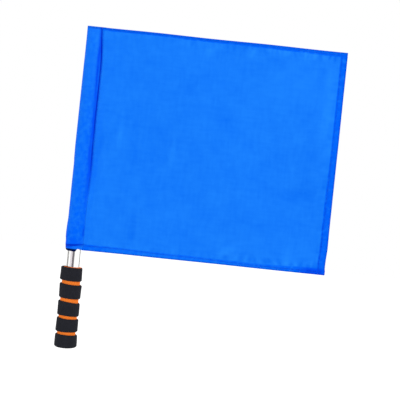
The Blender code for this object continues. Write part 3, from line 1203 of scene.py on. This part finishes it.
        if zone in (Zone.FLY_TUCK_FOLD, Zone.SEAM_FOLD):
            tuck_radius = stack - pitch / 2
            angle = math.pi * outward * (0.5 - share)
            cos, sin = outward * math.cos(angle), math.sin(angle)
            y = self.settled(inner - seam_x, seam_y) + 2 * stack - pitch / 2 + tuck_radius * sin
            return inner - tuck_radius * cos, y, still + cos, still - sin
        x = inner + (edge - outward * self.raw_stop - inner) * place
        return x, self.settled(x - seam_x, seam_y) + stack, still, still + 1

    def settled(self, beyond: Array, seam_y: Array) -> Array:
        """Depth of the field at distances beyond the seam, settling to its plane past a ridge."""
        ridge = on_line(beyond, *self.ridge) * smooth_step(beyond / self.ridge_start)
        return seam_y * (1 - smooth_step(beyond / self.settle_run)) - ridge

    def place(self, zone: Zone, share: float, heights: Array, depths: Array) -> Array:
        """Points of the cloth in one column, at depths behind its middle.

        Args:
            zone: The stretch that the column is in.
            share: How far along the stretch it lies, or an array of this.
            heights: Heights above the lower edge.
            depths: Distance from the outer layer's middle towards the wrong side.

        Returns:
            An array of points in the frame, one row for each height.
        """
        x, y, way_x, way_y = self.section(zone, share, heights)
        in_front = smooth_step(-y / self.front_fade)
        if zone is Zone.SLEEVE:
            raised = sum(ripple.rise * ripple.share(x, heights) for ripple in self.wrinkles)
            fading = smooth_step((self.wrinkle_end - share) / self.wrinkle_fade)
            depths = depths - raised * in_front * fading
        x = x + way_x * depths
        y = y + way_y * depths
        if zone is Zone.SLEEVE:
            hang = follow(self.mouth_course, x) * in_front
            heights = heights - hang * (1 - smooth_step(heights / self.mouth_height))
        else:
            turns = (x + self.wave_lean * heights) / self.wave_length
            relief = self.wave_depth * np.sin(2 * np.pi * turns)
            relief = relief - sum(ripple.rise * ripple.share(x, heights) for ripple in self.ripples)
            y = y + relief * smooth_step((x - self.seam(heights)[0]) / self.seam_hold)
        return np.stack([x, y, self.bottom + heights - self.slope * x], axis=1)

    def build(self) -> None:
        """Make the cloth, a grid folded into place and given its thickness, and its thread."""
        columns = self.columns()
        heights, depths = self.rows()
        Bench.take()
        bpy.ops.mesh.primitive_grid_add(x_subdivisions=len(columns) - 1,
                                        y_subdivisions=len(heights) - 1, size=1.0)
        piece = Bench.named("flag_cloth_woven")
        points = np.stack([self.place(*column, heights, depths) for column in columns], axis=1)
        piece.data.vertices.foreach_set("co", points.reshape(-1).astype(np.float32))
        cut = self.lay_threads(piece.data, points)
        ClothMarks(self, columns, heights, points).write(piece.data)
        piece.data.update()
        Bench.modify(piece, "SOLIDIFY", thickness=self.thickness, offset=0.0,
                     use_even_offset=False)
        Bench.dress(piece, POLYESTER, Body.FLAG, "flag_cloth", math.pi)
        threads = HemThread(self).build()
        LOG.info("cloth cut to %.1f x %.1f mm", cut[0] / MM, cut[1] / MM)

    def lay_threads(self, mesh: bpy.types.Mesh, points: Array) -> tuple[float, float]:
        """Give the cloth a UV map in metres along its threads.

        Args:
            mesh: The grid's mesh.
            points: Its points by row and column.

        Returns:
            The size that the cloth was cut to.
        """
        middle = [count // 2 for count in points.shape[:2]]
        u, v = (np.concatenate([[0.0], np.cumsum(np.linalg.norm(np.diff(line, axis=0), axis=1))])
                for line in (points[middle[0]], points[:, middle[1]]))
        grid = np.stack(np.meshgrid(u, v), axis=2).reshape(-1, 2)
        corners = np.zeros(len(mesh.loops), np.int32)
        mesh.loops.foreach_get("vertex_index", corners)
        layer = mesh.uv_layers.active or mesh.uv_layers.new()
        layer.name = self.UV_NAME
        layer.data.foreach_set("uv", grid[corners].reshape(-1).astype(np.float32))
        return float(u[-1]), float(v[-1])


@dataclass
class ClothMarks:
    """Painted light and shade on the cloth: layers, folds, drawn-in seams, mouth and turned edges.

    Attributes:
        cloth: The cloth.
        columns: Zone and share of each column of its grid.
        heights: Height of each row.
        points: The grid's points by row and column.
    """

    cloth: FlagCloth
    columns: list[tuple[Zone, float]]
    heights: Array
    points: Array
    # Distance from the pole's axis, and where the hem shows through the cloth to, as painted shade.
    top_hem_course: Course = course((0, 4.2), (60, 4.3), (170, 5.1), (240, 5.6), (300, 6.4))
    bottom_hem_course: Course = course(
        (-12, 6), (14, 8), (40, 8.5), (100, 7.5), (170, 7), (240, 6.2), (300, 8))
    # Distance from the pole's axis, and how strong the bottom hem's painted shade is.
    bottom_share_course: Course = course((20, 1), (50, 0.55), (250, 0.6), (320, 1), lengths=1)
    # Height above the lower edge, and how much painted shade the layers behind the sleeve and
    # seam give them.
    sleeve_course: Course = course(
        (0, 1.2), (20, 0.95), (40, 0.72), (150, 0.58), (300, 0.28), lengths=1)
    seam_course: Course = course(
        (0, 0.15), (50, 0.1), (90, 0.15), (120, 0.3), (140, 0.05), (300, 0), lengths=1)
    # Height above the lower edge, width of the drawn-in band beside the seam, how much painted
    # shade it gets, how much the fold along its edge and the seam's own line get, and how much the
    # band comes out again, paler, between the two.
    band_course: Course = course(
        (0, 1.6, 0, 0, 0, 0), (17, 1.6, 0.1, 0, 0, 0), (20, 1.6, 0.5, 0, 0.35, 0),
        (26, 1.6, 0.6, 0, 0.45, 0), (31, 1.8, 0.3, 0, 0.05, 0), (41, 2, 0.1, 0, 0, 0),
        (54, 3.2, 0.12, 0.1, 0, 0.4), (62, 3.2, 0.4, 0.15, 0, 0.4), (70, 3.2, 0.72, 0, 0, 0.5),
        (78, 4.4, 0.3, 0.12, 0.19, 0.1), (86, 4.9, 0.3, 0.22, 0.48, 0.1),
        (94, 5.1, 0.58, 0.1, 0.52, 0.1), (102, 4.1, 0.92, 0, 0.28, 0.1),
        (110, 4.1, 0.81, 0, 0.62, 0), (118, 4.9, 0.88, 0, 0.74, 0),
        (126, 5.7, 0.78, 0.25, 0.96, 0.1), (134, 5.1, 0.79, 0.18, 1.05, 0.9),
        (142, 4.8, 0.62, 0.2, 0.92, 0.8), (150, 5.2, 0.63, 0, 0.72, 0),
        (158, 3.7, 0.98, 0.15, 0.77, 0), (166, 3.9, 0.98, 0.18, 1, 0.9),
        (174, 4.2, 0.95, 0.13, 1.16, 0.9), (182, 4.4, 0.87, 0.18, 0.9, 0),
        (190, 4.6, 0.45, 0.38, 1.12, 0.1), (198, 4.3, 0.4, 0.38, 1.2, 0.1),
        (206, 4.8, 0.85, 0.14, 1.24, 0.8), (214, 5.3, 0.75, 0.26, 1.17, 1),
        (222, 5.3, 0.45, 0.55, 1.06, 1), (230, 5.7, 0.66, 0.5, 1.02, 1),
        (238, 5.7, 0.55, 0.6, 1.03, 1), (246, 5.7, 0.5, 0.58, 1.05, 1),
        (254, 5.7, 0.97, 0.13, 1.16, 0.7), (262, 5.3, 1, 0.32, 1.16, 0.8),
        (270, 4.2, 1, 0.28, 1.36, 0), (278, 3.5, 0.8, 0.2, 1.2, 0.9),
        (286, 3.4, 0.78, 0.18, 0.98, 0.4), (294, 3.7, 0.58, 0.3, 1.08, 0.6))
    # Height above the lower edge, and how much painted highlight the cloth gets before the band,
    # where it bulges to the light, and how much painted light in the field close beside the seam.
    bulge_highlight_course: Course = course(
        (75, 0), (90, 0.17), (125, 0.3), (140, 0.2), (149, 0), (158, 0.2), (176, 0.4), (188, 0.2),
        (206, 0.22), (222, 0.47), (236, 0.28), (258, 0.2), (268, 0.4), (278, 0.6), (287, 0.3),
        (296, 0), lengths=1)
    beside_light_course: Course = course(
        (125, 0), (140, 0.26), (155, 0.2), (180, 0.3), (198, 0.15), (212, 0.15), (224, 0.42),
        (248, 0.3), (270, 0.15), (282, 0), (289, -0.2), (296, -0.5), lengths=1)
    # Distance from the pole's axis, and how much painted shade the hem gets that hangs slack at
    # the fly's corner.
    corner_course: Course = course((297, 0), (306, 0.5), (314, 1), (332, 1), (336, 0.6), lengths=1)
    # Distance from the pole's axis, half width of the crease above the mouth, and its painted
    # shade.
    crease_width_course: Course = course((-5, 1.3), (5, 0.9))
    crease_shade_course: Course = course((-10, 1.7), (3, 1.4), (9, 0.9), (13, 0.6), (17, 0), lengths=1)
    crease_height: float = 6.015 * MM
    crease_slope: float = 0.13
    # Place along each hem, and how much painted shade its row of stitches gets.
    fly_row_course: Course = course((0, 0.42), (150, 0.25), (300, 0.15), lengths=1)
    top_row_course: Course = course((0, 0.3), (200, 0.28), (270, 0.3), (300, 0.35), lengths=1)
    bottom_row_course: Course = course(
        (-8, 0.5), (1, 0), (11, 0), (15, 0.36), (30, 0.28), (80, 0.15), (150, 0.12), (230, 0.24),
        (290, 0.3), (310, 0.5), lengths=1)
    mouth_end: float = 4.3 * MM
    mouth_shade: Pair = (1.2 * MM, 0.5 * MM)
    # Where the cloth lifts below the crease it gets painted light: how far below, from where to
    # where, how much paler.
    lift_below: float = 0.8 * MM
    lift_reach: Pair = (-5.0 * MM, 2.0 * MM)
    lift_paler: float = 0.45
    # Soft widths: how wide, how soft their end is, and their share. They bound the painted shade at
    # the fly's corner and, near the sleeve's mouth, its painted light (paler) and painted shade
    # (tucked).
    corner_width: Pair = (7.8 * MM, 4.0 * MM)
    paler_mouth: Triple = (15.0 * MM, 8.0 * MM, 0.8)
    paler_reach: Pair = (4.0 * MM, 12.0 * MM)
    tucked_mouth: Triple = (12.0 * MM, 16.0 * MM, 0.5)
    # How strongly the sleeve's back shows at the pole's axis, as painted shade, and how much more
    # at the seam.
    back_shown: Pair = (0.92, 0.16)
    # The band's fold: how far inside its end, half width, and its share in the tuck's painted shade
    # and in the line.
    fold_inset: float = 1.5 * MM
    fold_width: float = 1.2 * MM
    fold_tucked: float = 1.8
    fold_darkness: float = 0.35
    band_fade: float = 2.2 * MM
    band_start: Pair = (-0.35 * MM, 0.15 * MM)
    behind_darkness: float = 0.6
    # Soft lines of painted shade, and of painted light for the bulge and beside the seam: their
    # place, half width and darkness.
    bulge_line: Pair = (3.0 * MM, 2.2 * MM)
    beside_line: Pair = (1.8 * MM, 1.0 * MM)
    seam_line: Pair = (0.9 * MM, 0.9 * MM)
    fold_line: Triple = (0.0, 1.2 * MM, 0.25)
    top_line: Triple = (0.0, 1.1 * MM, 0.1)
    top_rim: Triple = (1.1 * MM, 0.9 * MM, 0.29)
    bottom_rim: Triple = (0.8 * MM, 0.8 * MM, 0.32)
    fly_rim: Triple = (0.7 * MM, 0.8 * MM, 0.27)
    fly_stitch_width: float = 1.3 * MM
    bottom_stitch_width: float = 0.9 * MM
    fly_hem_shade: float = 0.1
    corner_shade: float = 0.14

    def __post_init__(self) -> None:
        """Measure every point from the cloth's edges, its seam and the crease at its mouth."""
        cloth = self.cloth
        self.x, self.y = self.points[:, :, 0], self.points[:, :, 1]
        self.high = np.repeat(self.heights[:, None], len(self.columns), axis=1)
        self.below_top = cloth.height - self.high
        self.from_fly = cloth.fly_edge(self.high) - self.x
        self.from_seam = self.x - cloth.seam(self.high)[0]
        self.sleeve = np.broadcast_to([float(zone is Zone.SLEEVE) for zone, _ in self.columns],
                                      self.x.shape)
        self.front = np.where(self.sleeve > 0, self.y < 0, self.y < 2 * cloth.pitch)
        self.above_crease = self.high - self.crease_height - self.crease_slope * self.x
        # Painted light where the cloth lifts below the crease.
        self.lift_light = (within(self.above_crease, -self.lift_below) * self.sleeve
                       * self.rising(self.x, self.lift_reach))
        # Painted shade where the hem hangs slack at the fly's corner.
        self.corner_shade_mask = (follow(self.corner_course, self.x) * within(self.high, *self.corner_width)
                       * (1 - self.sleeve))

    @staticmethod
    def rising(distance: Array, reach: Pair) -> Array:
        """Ease from 0 to 1 between two distances."""
        return smooth_step((distance - reach[0]) / (reach[1] - reach[0]))

    def write(self, mesh: bpy.types.Mesh) -> None:
        """Write every mark to the mesh.

        Args:
            mesh: The grid's mesh.
        """
        band, seam_line = self.band()
        for mark, values in {
            Mark.PAINTED_LIGHT_AND_SHADE: self.tone(), Mark.BACKING_SHADE: self.backing_shade(), Mark.TUCK_SHADE: self.tuck_shade(band),
            Mark.GROOVE_SHADE: self.groove_shade(seam_line), Mark.STITCH_SHADE: self.stitch(),
            Mark.MOUTH_AND_RIM_SHADE: self.mouth_and_rim_shade(),
        }.items():
            attribute = mesh.attributes.new(mark.value, "FLOAT", "POINT")
            attribute.data.foreach_set("value", values.reshape(-1).astype(np.float32))

    def tone(self) -> Array:
        """Paint light and shade on folds, a highlight on the band's bulge and light beside the
        seam.

        Returns:
            The mark at each point.
        """
        bulge_highlight = follow(self.bulge_highlight_course, self.high) * on_line(
            -self.from_seam - follow(self.band_course, self.high), *self.bulge_line)
        beside = follow(self.beside_light_course, self.high) * on_line(self.from_seam, *self.beside_line)
        field = beside + sum(ripple.tone * ripple.share(self.x, self.high)
                             for ripple in self.cloth.ripples)
        return np.where(self.sleeve > 0, bulge_highlight, field)

    def backing_shade(self) -> Array:
        """Paint shade where hems, the seam's allowance or the sleeve's back lie behind the cloth.

        Returns:
            The mark at each point.
        """
        level = follow(self.sleeve_course, self.high)
        at_axis, more = self.back_shown
        level = level * (at_axis + more * self.x / (self.x - self.from_seam))
        near_mouth = within(self.high, *self.paler_mouth)
        level = level * (1 - self.rising(self.x, self.paler_reach) * near_mouth)
        hems = np.maximum.reduce([
            within(self.from_fly, follow(self.cloth.fly_hem_course, self.high)),
            follow(self.bottom_share_course, self.x)
            * within(self.high, follow(self.bottom_hem_course, self.x)),
            within(self.below_top, follow(self.top_hem_course, self.x)),
            follow(self.seam_course, self.high) * within(self.from_seam, self.cloth.allowance),
        ])
        return ((hems * (1 - self.sleeve) + self.sleeve * np.clip(level, 0.0, 1.0))
                * (1 - self.lift_paler * self.lift_light))

    def band(self) -> tuple[Array, Array]:
        """Painted shade of the band that the seam draws in beside it, and of its two lines.

        Returns:
            The band's share and the lines' share. Only the seam's own line shows behind.
        """
        beside = -self.from_seam
        width, level, fold, line_level, ease = (follow(self.band_course, self.high, column)
                                                for column in range(1, 6))
        fold_place = width - self.fold_inset
        start = self.rising(beside, self.band_start)
        eased = 1 - ease * np.clip(1 - beside / fold_place, 0.0, 1.0)
        folded = fold * start * on_line(beside, fold_place, self.fold_width)
        tuck_shade = np.maximum(level * eased * start * within(beside, width, self.band_fade),
                          np.minimum(self.fold_tucked * folded, 1.0))
        line = line_level * start * on_line(beside, *self.seam_line)
        before = np.maximum(line, self.fold_darkness * folded)
        return tuck_shade * self.front, np.where(self.front, before, self.behind_darkness * line)

    def tuck_shade(self, band: Array) -> Array:
        """Paint shade where the cloth is tucked in or slack: band, mouth, corner and wrinkles.

        Args:
            band: The drawn-in band's share.

        Returns:
            The mark at each point.
        """
        wrinkled = sum(ripple.tone * ripple.share(self.x, self.high)
                       for ripple in self.cloth.wrinkles)
        near_mouth = within(self.high, *self.tucked_mouth)
        return (1 - self.lift_light) * np.maximum.reduce([
            band, self.sleeve * near_mouth, self.corner_shade_mask, self.sleeve * wrinkled])

    def groove_shade(self, seam_line: Array) -> Array:
        """Paint shade in lines: the seam, the crease above the mouth, the hoist's fold, the top.

        Args:
            seam_line: Share of the seam's lines.

        Returns:
            The mark at each point.
        """
        crease_shade = (follow(self.crease_shade_course, self.x) * self.front
                  * on_line(self.above_crease, 0.0, follow(self.crease_width_course, self.x)))
        from_fold = self.x + follow(self.cloth.fold_course, self.high)
        return np.maximum.reduce([
            seam_line, crease_shade, self.corner_shade * self.corner_shade_mask,
            self.sleeve * on_line(from_fold, *self.fold_line),
            on_line(self.below_top, *self.top_line),
        ])

    def stitch(self) -> Array:
        """Paint shade on the fly hem and where rows of stitches draw the hems in.

        Returns:
            The mark at each point.
        """
        cloth, x, high = self.cloth, self.x, self.high
        return np.maximum.reduce([
            self.fly_hem_shade * within(self.from_fly, follow(cloth.fly_hem_course, high)),
            follow(self.fly_row_course, high)
            * on_line(self.from_fly, follow(cloth.fly_stitch_course, high), self.fly_stitch_width),
            follow(self.top_row_course, x)
            * on_line(self.below_top, follow(cloth.top_stitch_course, x)),
            follow(self.bottom_row_course, x)
            * on_line(high, follow(cloth.bottom_stitch_course, x), self.bottom_stitch_width),
        ])

    def mouth_and_rim_shade(self) -> Array:
        """Paint shade on the sleeve's mouth and on the rims of the turned edges.

        Returns:
            The mark at each point.
        """
        shade = (self.sleeve * (self.y < 0) * within(self.x, self.mouth_end)
                 * within(self.high, *self.mouth_shade))
        return np.maximum.reduce([
            shade, on_line(self.below_top, *self.top_rim), on_line(self.from_fly, *self.fly_rim),
            (1 - self.sleeve) * on_line(self.high, *self.bottom_rim),
        ])


@dataclass
class HemThread:
    """The lockstitch in the hems and the sleeve's seam: one stitch, repeated along every row."""

    cloth: FlagCloth
    gauge: float = 0.34 * MM
    pitch: float = 2.8 * MM
    gap: float = 0.35 * MM
    sunk: float = 0.05 * MM
    seam_inset: float = 0.8 * MM
    end_inset: float = 2.0 * MM
    row_level: float = 4.0 * MM
    # Where the rows behind keep clear of the seam's allowance and of the fly hem.
    seam_clear: float = 1.5 * MM
    fly_clear: float = 12.0 * MM
    path_points: int = 160

    def build(self) -> list[Piece]:
        """Make the thread of the three hems and of the sleeve's seam.

        Returns:
            The four threads.
        """
        cloth = self.cloth
        # Distance of the thread's middle from that of the cloth that it lies on.
        self.lift = cloth.thickness / 2 + self.gauge / 2 - self.sunk
        rows = {
            "hem_thread_top": self.across(cloth.top_stitch_course, cloth.height, -1.0),
            "hem_thread_bottom": self.across(cloth.bottom_stitch_course, 0.0, 1.0),
            **self.upright(),
        }
        return [self.sew(name, paths) for name, paths in rows.items()]

    def across(self, stitches: Course, edge: float, inward: float) -> list[Array]:
        """Paths of a hem that runs across: in front from the seam behind to the fly, and behind.

        Args:
            stitches: How far inside the edge the row lies.
            edge: Height of the hem's outer edge.
            inward: 1 where the cloth lies above that edge, -1 where it lies below.

        Returns:
            The paths in front and behind.
        """
        cloth = self.cloth
        front, back = [], []
        level = np.array([edge + inward * self.row_level])
        clear = cloth.seam(level)[0][0] + cloth.allowance + self.seam_clear
        for zone, share in cloth.columns():
            if zone not in (Zone.SLEEVE, Zone.FIELD):
                continue
            x = cloth.section(zone, share, level)[0]
            height = edge + inward * follow(stitches, x)
            front.append(cloth.place(zone, share, height, np.array([-self.lift]))[0])
            if zone is Zone.FIELD and clear < x[0] < cloth.fly - self.fly_clear:
                behind = np.array([2 * cloth.pitch + self.lift])
                back.append(cloth.place(zone, share, height, behind)[0])
        return [np.array(front[1:-3]), np.array(back)]

    def upright(self) -> dict[str, list[Array]]:
        """Paths up the fly hem and up the sleeve's seam, each in front and behind.

        Returns:
            The paths by the name of their thread.
        """
        cloth = self.cloth
        heights = np.linspace(self.end_inset, cloth.height - self.end_inset, self.path_points)
        lift = np.full_like(heights, -self.lift)
        seam_x = cloth.seam(heights)[0]
        fly = cloth.fly_edge(heights)
        start = fly - (3 * cloth.stack(heights) - cloth.pitch) / 2
        x = fly - follow(cloth.fly_stitch_course, heights)
        hem = follow(cloth.fly_hem_course, heights)
        shares = {
            "hem_thread_fly": ((Zone.FIELD, (x - seam_x) / (start - seam_x)),
                               (Zone.FLY_BACK, (start - x) / (start - fly + hem))),
            "sleeve_thread": ((Zone.FIELD, self.seam_inset / (start - seam_x)),
                              (Zone.ALLOWANCE, 1 - self.seam_inset / cloth.allowance + 0 * x)),
        }
        return {name: [cloth.place(zone, share, heights, lift) for zone, share in pair]
                for name, pair in shares.items()}

    def stitch(self, name: str) -> Piece:
        """Make one stitch: a ball drawn out along X, starting half a gap from the origin.

        Args:
            name: The piece's name.

        Returns:
            The stitch.
        """
        Bench.take()
        bpy.ops.mesh.primitive_uv_sphere_add(segments=8, ring_count=6, radius=self.gauge / 2,
                                             rotation=(0.0, math.pi / 2, 0.0))
        piece = Bench.named(name)
        drawn = (self.pitch - self.gap - self.gauge) / 2
        bpy.ops.object.mode_set(mode="EDIT")
        for way in (1, -1):
            Bench.pick(piece, lambda place: place.x * way > self.gauge / 20)
            bpy.ops.transform.translate(value=(way * drawn, 0.0, 0.0))
        bpy.ops.mesh.select_all(action="SELECT")
        bpy.ops.transform.translate(value=(self.pitch / 2, 0.0, 0.0))
        bpy.ops.object.mode_set(mode="OBJECT")
        return piece

    def sew(self, name: str, paths: list[Array]) -> Piece:
        """Repeat the stitch along each path and join the rows.

        Args:
            name: The piece's name.
            paths: The points of each path.

        Returns:
            The thread of one seam.
        """
        rows = []
        for path in paths:
            data = bpy.data.curves.new(name + "_path", "CURVE")
            data.dimensions = "3D"
            line = data.splines.new("POLY")
            line.points.add(len(path) - 1)
            for point, place in zip(line.points, path):
                point.co = (*place, 1.0)
            guide = bpy.data.objects.new(name + "_path", data)
            bpy.context.scene.collection.objects.link(guide)
            length = float(np.linalg.norm(np.diff(path, axis=0), axis=1).sum())
            row = self.stitch(name)
            Bench.modify(row, "ARRAY", use_relative_offset=False, use_constant_offset=True,
                         constant_offset_displace=(self.pitch, 0.0, 0.0),
                         count=int(length / self.pitch))
            Bench.modify(row, "CURVE", object=guide, deform_axis="POS_X")
            bpy.data.curves.remove(data)
            rows.append(row)
        Bench.take(rows[0])
        for row in rows:
            row.select_set(True)
        bpy.ops.object.join()
        Bench.dress(rows[0], THREAD, Body.FLAG, None, math.pi)
        return rows[0]


@dataclass
class Studio:
    """The floor, lamps, surroundings and camera.

    The camera faces the flag square on, turned a little about its line of sight, so that the
    pole leans to the right in the picture.
    """

    picture_size: float = 400.0
    metres_per_pixel: float = 1.3405 * MM
    camera_distance_pixels: float = 870.0
    roll: float = math.radians(5.4)
    butt_pixel: tuple[float, float] = (64.9, 346.55)
    sensor: float = 36.0
    floor_height: float = -0.90
    floor_size: float = 30.0
    floor_glow: float = 0.56
    ambient: float = 0.79
    lamp_size: float = 1.3
    card_distance: float = 2.6
    card_height: float = 3.0

    def build(self) -> None:
        """Make everything round the object."""
        for step in (self.surroundings, self.floor, self.lamps, self.cards, self.camera):
            step()
        bpy.context.scene.view_settings.view_transform = "Standard"

    def camera(self) -> None:
        """Place the camera so that the butt's centre falls on its pixel."""
        right = Vector((math.cos(self.roll), 0.0, math.sin(self.roll)))
        up = Vector((-math.sin(self.roll), 0.0, math.cos(self.roll)))
        back = Vector((0.0, -1.0, 0.0))
        middle = self.picture_size / 2
        aim = right * (middle - self.butt_pixel[0]) + up * (self.butt_pixel[1] - middle)
        place = (aim + back * self.camera_distance_pixels) * self.metres_per_pixel
        data = bpy.data.cameras.new("camera")
        data.sensor_width = self.sensor
        data.lens = self.sensor * self.camera_distance_pixels / self.picture_size
        data.clip_start = 0.05
        data.clip_end = 60.0
        camera = bpy.data.objects.new("camera", data)
        bpy.context.scene.collection.objects.link(camera)
        turn = Matrix((right, up, back)).transposed().to_4x4()
        camera.matrix_world = Matrix.Translation(place) @ turn
        bpy.context.scene.camera = camera

    @staticmethod
    def shown(tree: Tree) -> Socket:
        """Tell the rays that see or mirror a surface from those that it only lights.

        Args:
            tree: The node tree of the world or the floor.

        Returns:
            1 for camera, glossy and transmission rays.
        """
        seen = add_node(tree, "LightPath", "Is Camera Ray")
        for ray in ("Is Glossy Ray", "Is Transmission Ray"):
            other = add_node(tree, "LightPath", ray)
            seen = add_node(tree, "Math", "Value", {0: seen, 1: other}, operation="MAXIMUM")
        return seen

    def surroundings(self) -> None:
        """Make a white studio: white where it is seen or mirrored, softer as light."""
        world = bpy.data.worlds.new("white_studio")
        bpy.context.scene.world = world
        world.use_nodes = True
        tree = world.node_tree
        white = (1.0, 1.0, 1.0, 1.0)
        light, seen = (
            add_node(tree, "Background", "Background", {"Color": white, "Strength": level})
            for level in (self.ambient, 1.0))
        mix = add_node(tree, "MixShader", "Shader", {0: self.shown(tree), 1: light, 2: seen})
        tree.links.new(mix, tree.nodes["World Output"].inputs["Surface"])

    @staticmethod
    def matt_paint(name: str, tone: Colour, roughness: float) -> bpy.types.Material:
        """Make a matt paint without any gloss.

        Args:
            name: Its name.
            tone: Its colour.
            roughness: Its roughness.

        Returns:
            The material.
        """
        material = bpy.data.materials.new(name)
        material.use_nodes = True
        inputs = material.node_tree.nodes["Principled BSDF"].inputs
        inputs["Base Color"].default_value = tone
        inputs["Roughness"].default_value = roughness
        inputs["Specular IOR Level"].default_value = 0.0
        return material

    def floor(self) -> None:
        """Lay a plain pale floor well below the flag, which keeps its soft shadow."""
        Bench.take()
        bpy.ops.mesh.primitive_plane_add(
            size=self.floor_size, location=(0.0, 0.0, self.floor_height))
        floor = Bench.named("floor")
        material = self.matt_paint("painted_floor_white", (0.80, 0.80, 0.80, 1.0), 0.9)
        tree = material.node_tree
        dark, glow = (add_node(tree, "Emission", "Emission", {"Strength": level})
                      for level in (0.0, self.floor_glow))
        lift = add_node(tree, "MixShader", "Shader", {0: self.shown(tree), 1: dark, 2: glow})
        both = add_node(tree, "AddShader", "Shader", {
            0: tree.nodes["Principled BSDF"].outputs["BSDF"], 1: lift})
        tree.links.new(both, tree.nodes["Material Output"].inputs["Surface"])
        floor.data.materials.append(material)

    def lamps(self) -> None:
        """Hang soft boxes: a key at the upper right, a fill at the left, two behind the flag."""
        aim = Vector((0.15, 0.0, 0.22))
        for name, place, power in (
            ("key", Vector((1.9, -1.7, 1.5)), 19.0), ("fill", Vector((-1.8, -1.7, 0.7)), 11.0),
            ("rear_right", Vector((1.6, 2.0, 1.4)), 20.0),
            ("rear_left", Vector((-1.6, 2.0, 1.2)), 16.0),
        ):
            data = bpy.data.lights.new(name, "AREA")
            data.size = self.lamp_size
            data.energy = power
            lamp = bpy.data.objects.new(name, data)
            lamp.location = place
            lamp.rotation_euler = (aim - place).to_track_quat("-Z", "Y").to_euler()
            lamp.visible_glossy = False
            bpy.context.scene.collection.objects.link(lamp)

    def cards(self) -> None:
        """Stand cards round the pole that only the polished tube mirrors, as its dark lines."""
        distance = self.card_distance
        for name, bearing, width, tone in (
            ("centre_card", 7.5, 35.5, (0.22, 0.20, 0.22, 1.0)),
            ("side_card", -27.0, 32.0, (0.94, 0.88, 0.92, 1.0)),
            ("left_card", -89.0, 34.0, (0.42, 0.42, 0.41, 1.0)),
            ("right_card", 136.0, 24.0, (0.18, 0.18, 0.18, 1.0)),
        ):
            turn = math.radians(bearing)
            Bench.take()
            bpy.ops.mesh.primitive_plane_add(
                size=1.0, rotation=(math.pi / 2, 0.0, turn),
                location=(distance * math.sin(turn), -distance * math.cos(turn), 0.2))
            card = bpy.context.active_object
            card.scale = (2 * distance * math.tan(math.radians(width) / 2), self.card_height, 1.0)
            Bench.named(name)
            card.data.materials.append(self.matt_paint(name, tone, 1.0))
            card.visible_camera = card.visible_diffuse = False
            card.visible_shadow = card.visible_transmission = False


def main() -> None:
    """Build every piece of the flag and the studio round it."""
    logging.basicConfig(level=logging.INFO, format="%(message)s")
    for part in (Studio, SteelPole, FoamGrip, FlagCloth):
        part().build()


if __name__ == "__main__":
    main()
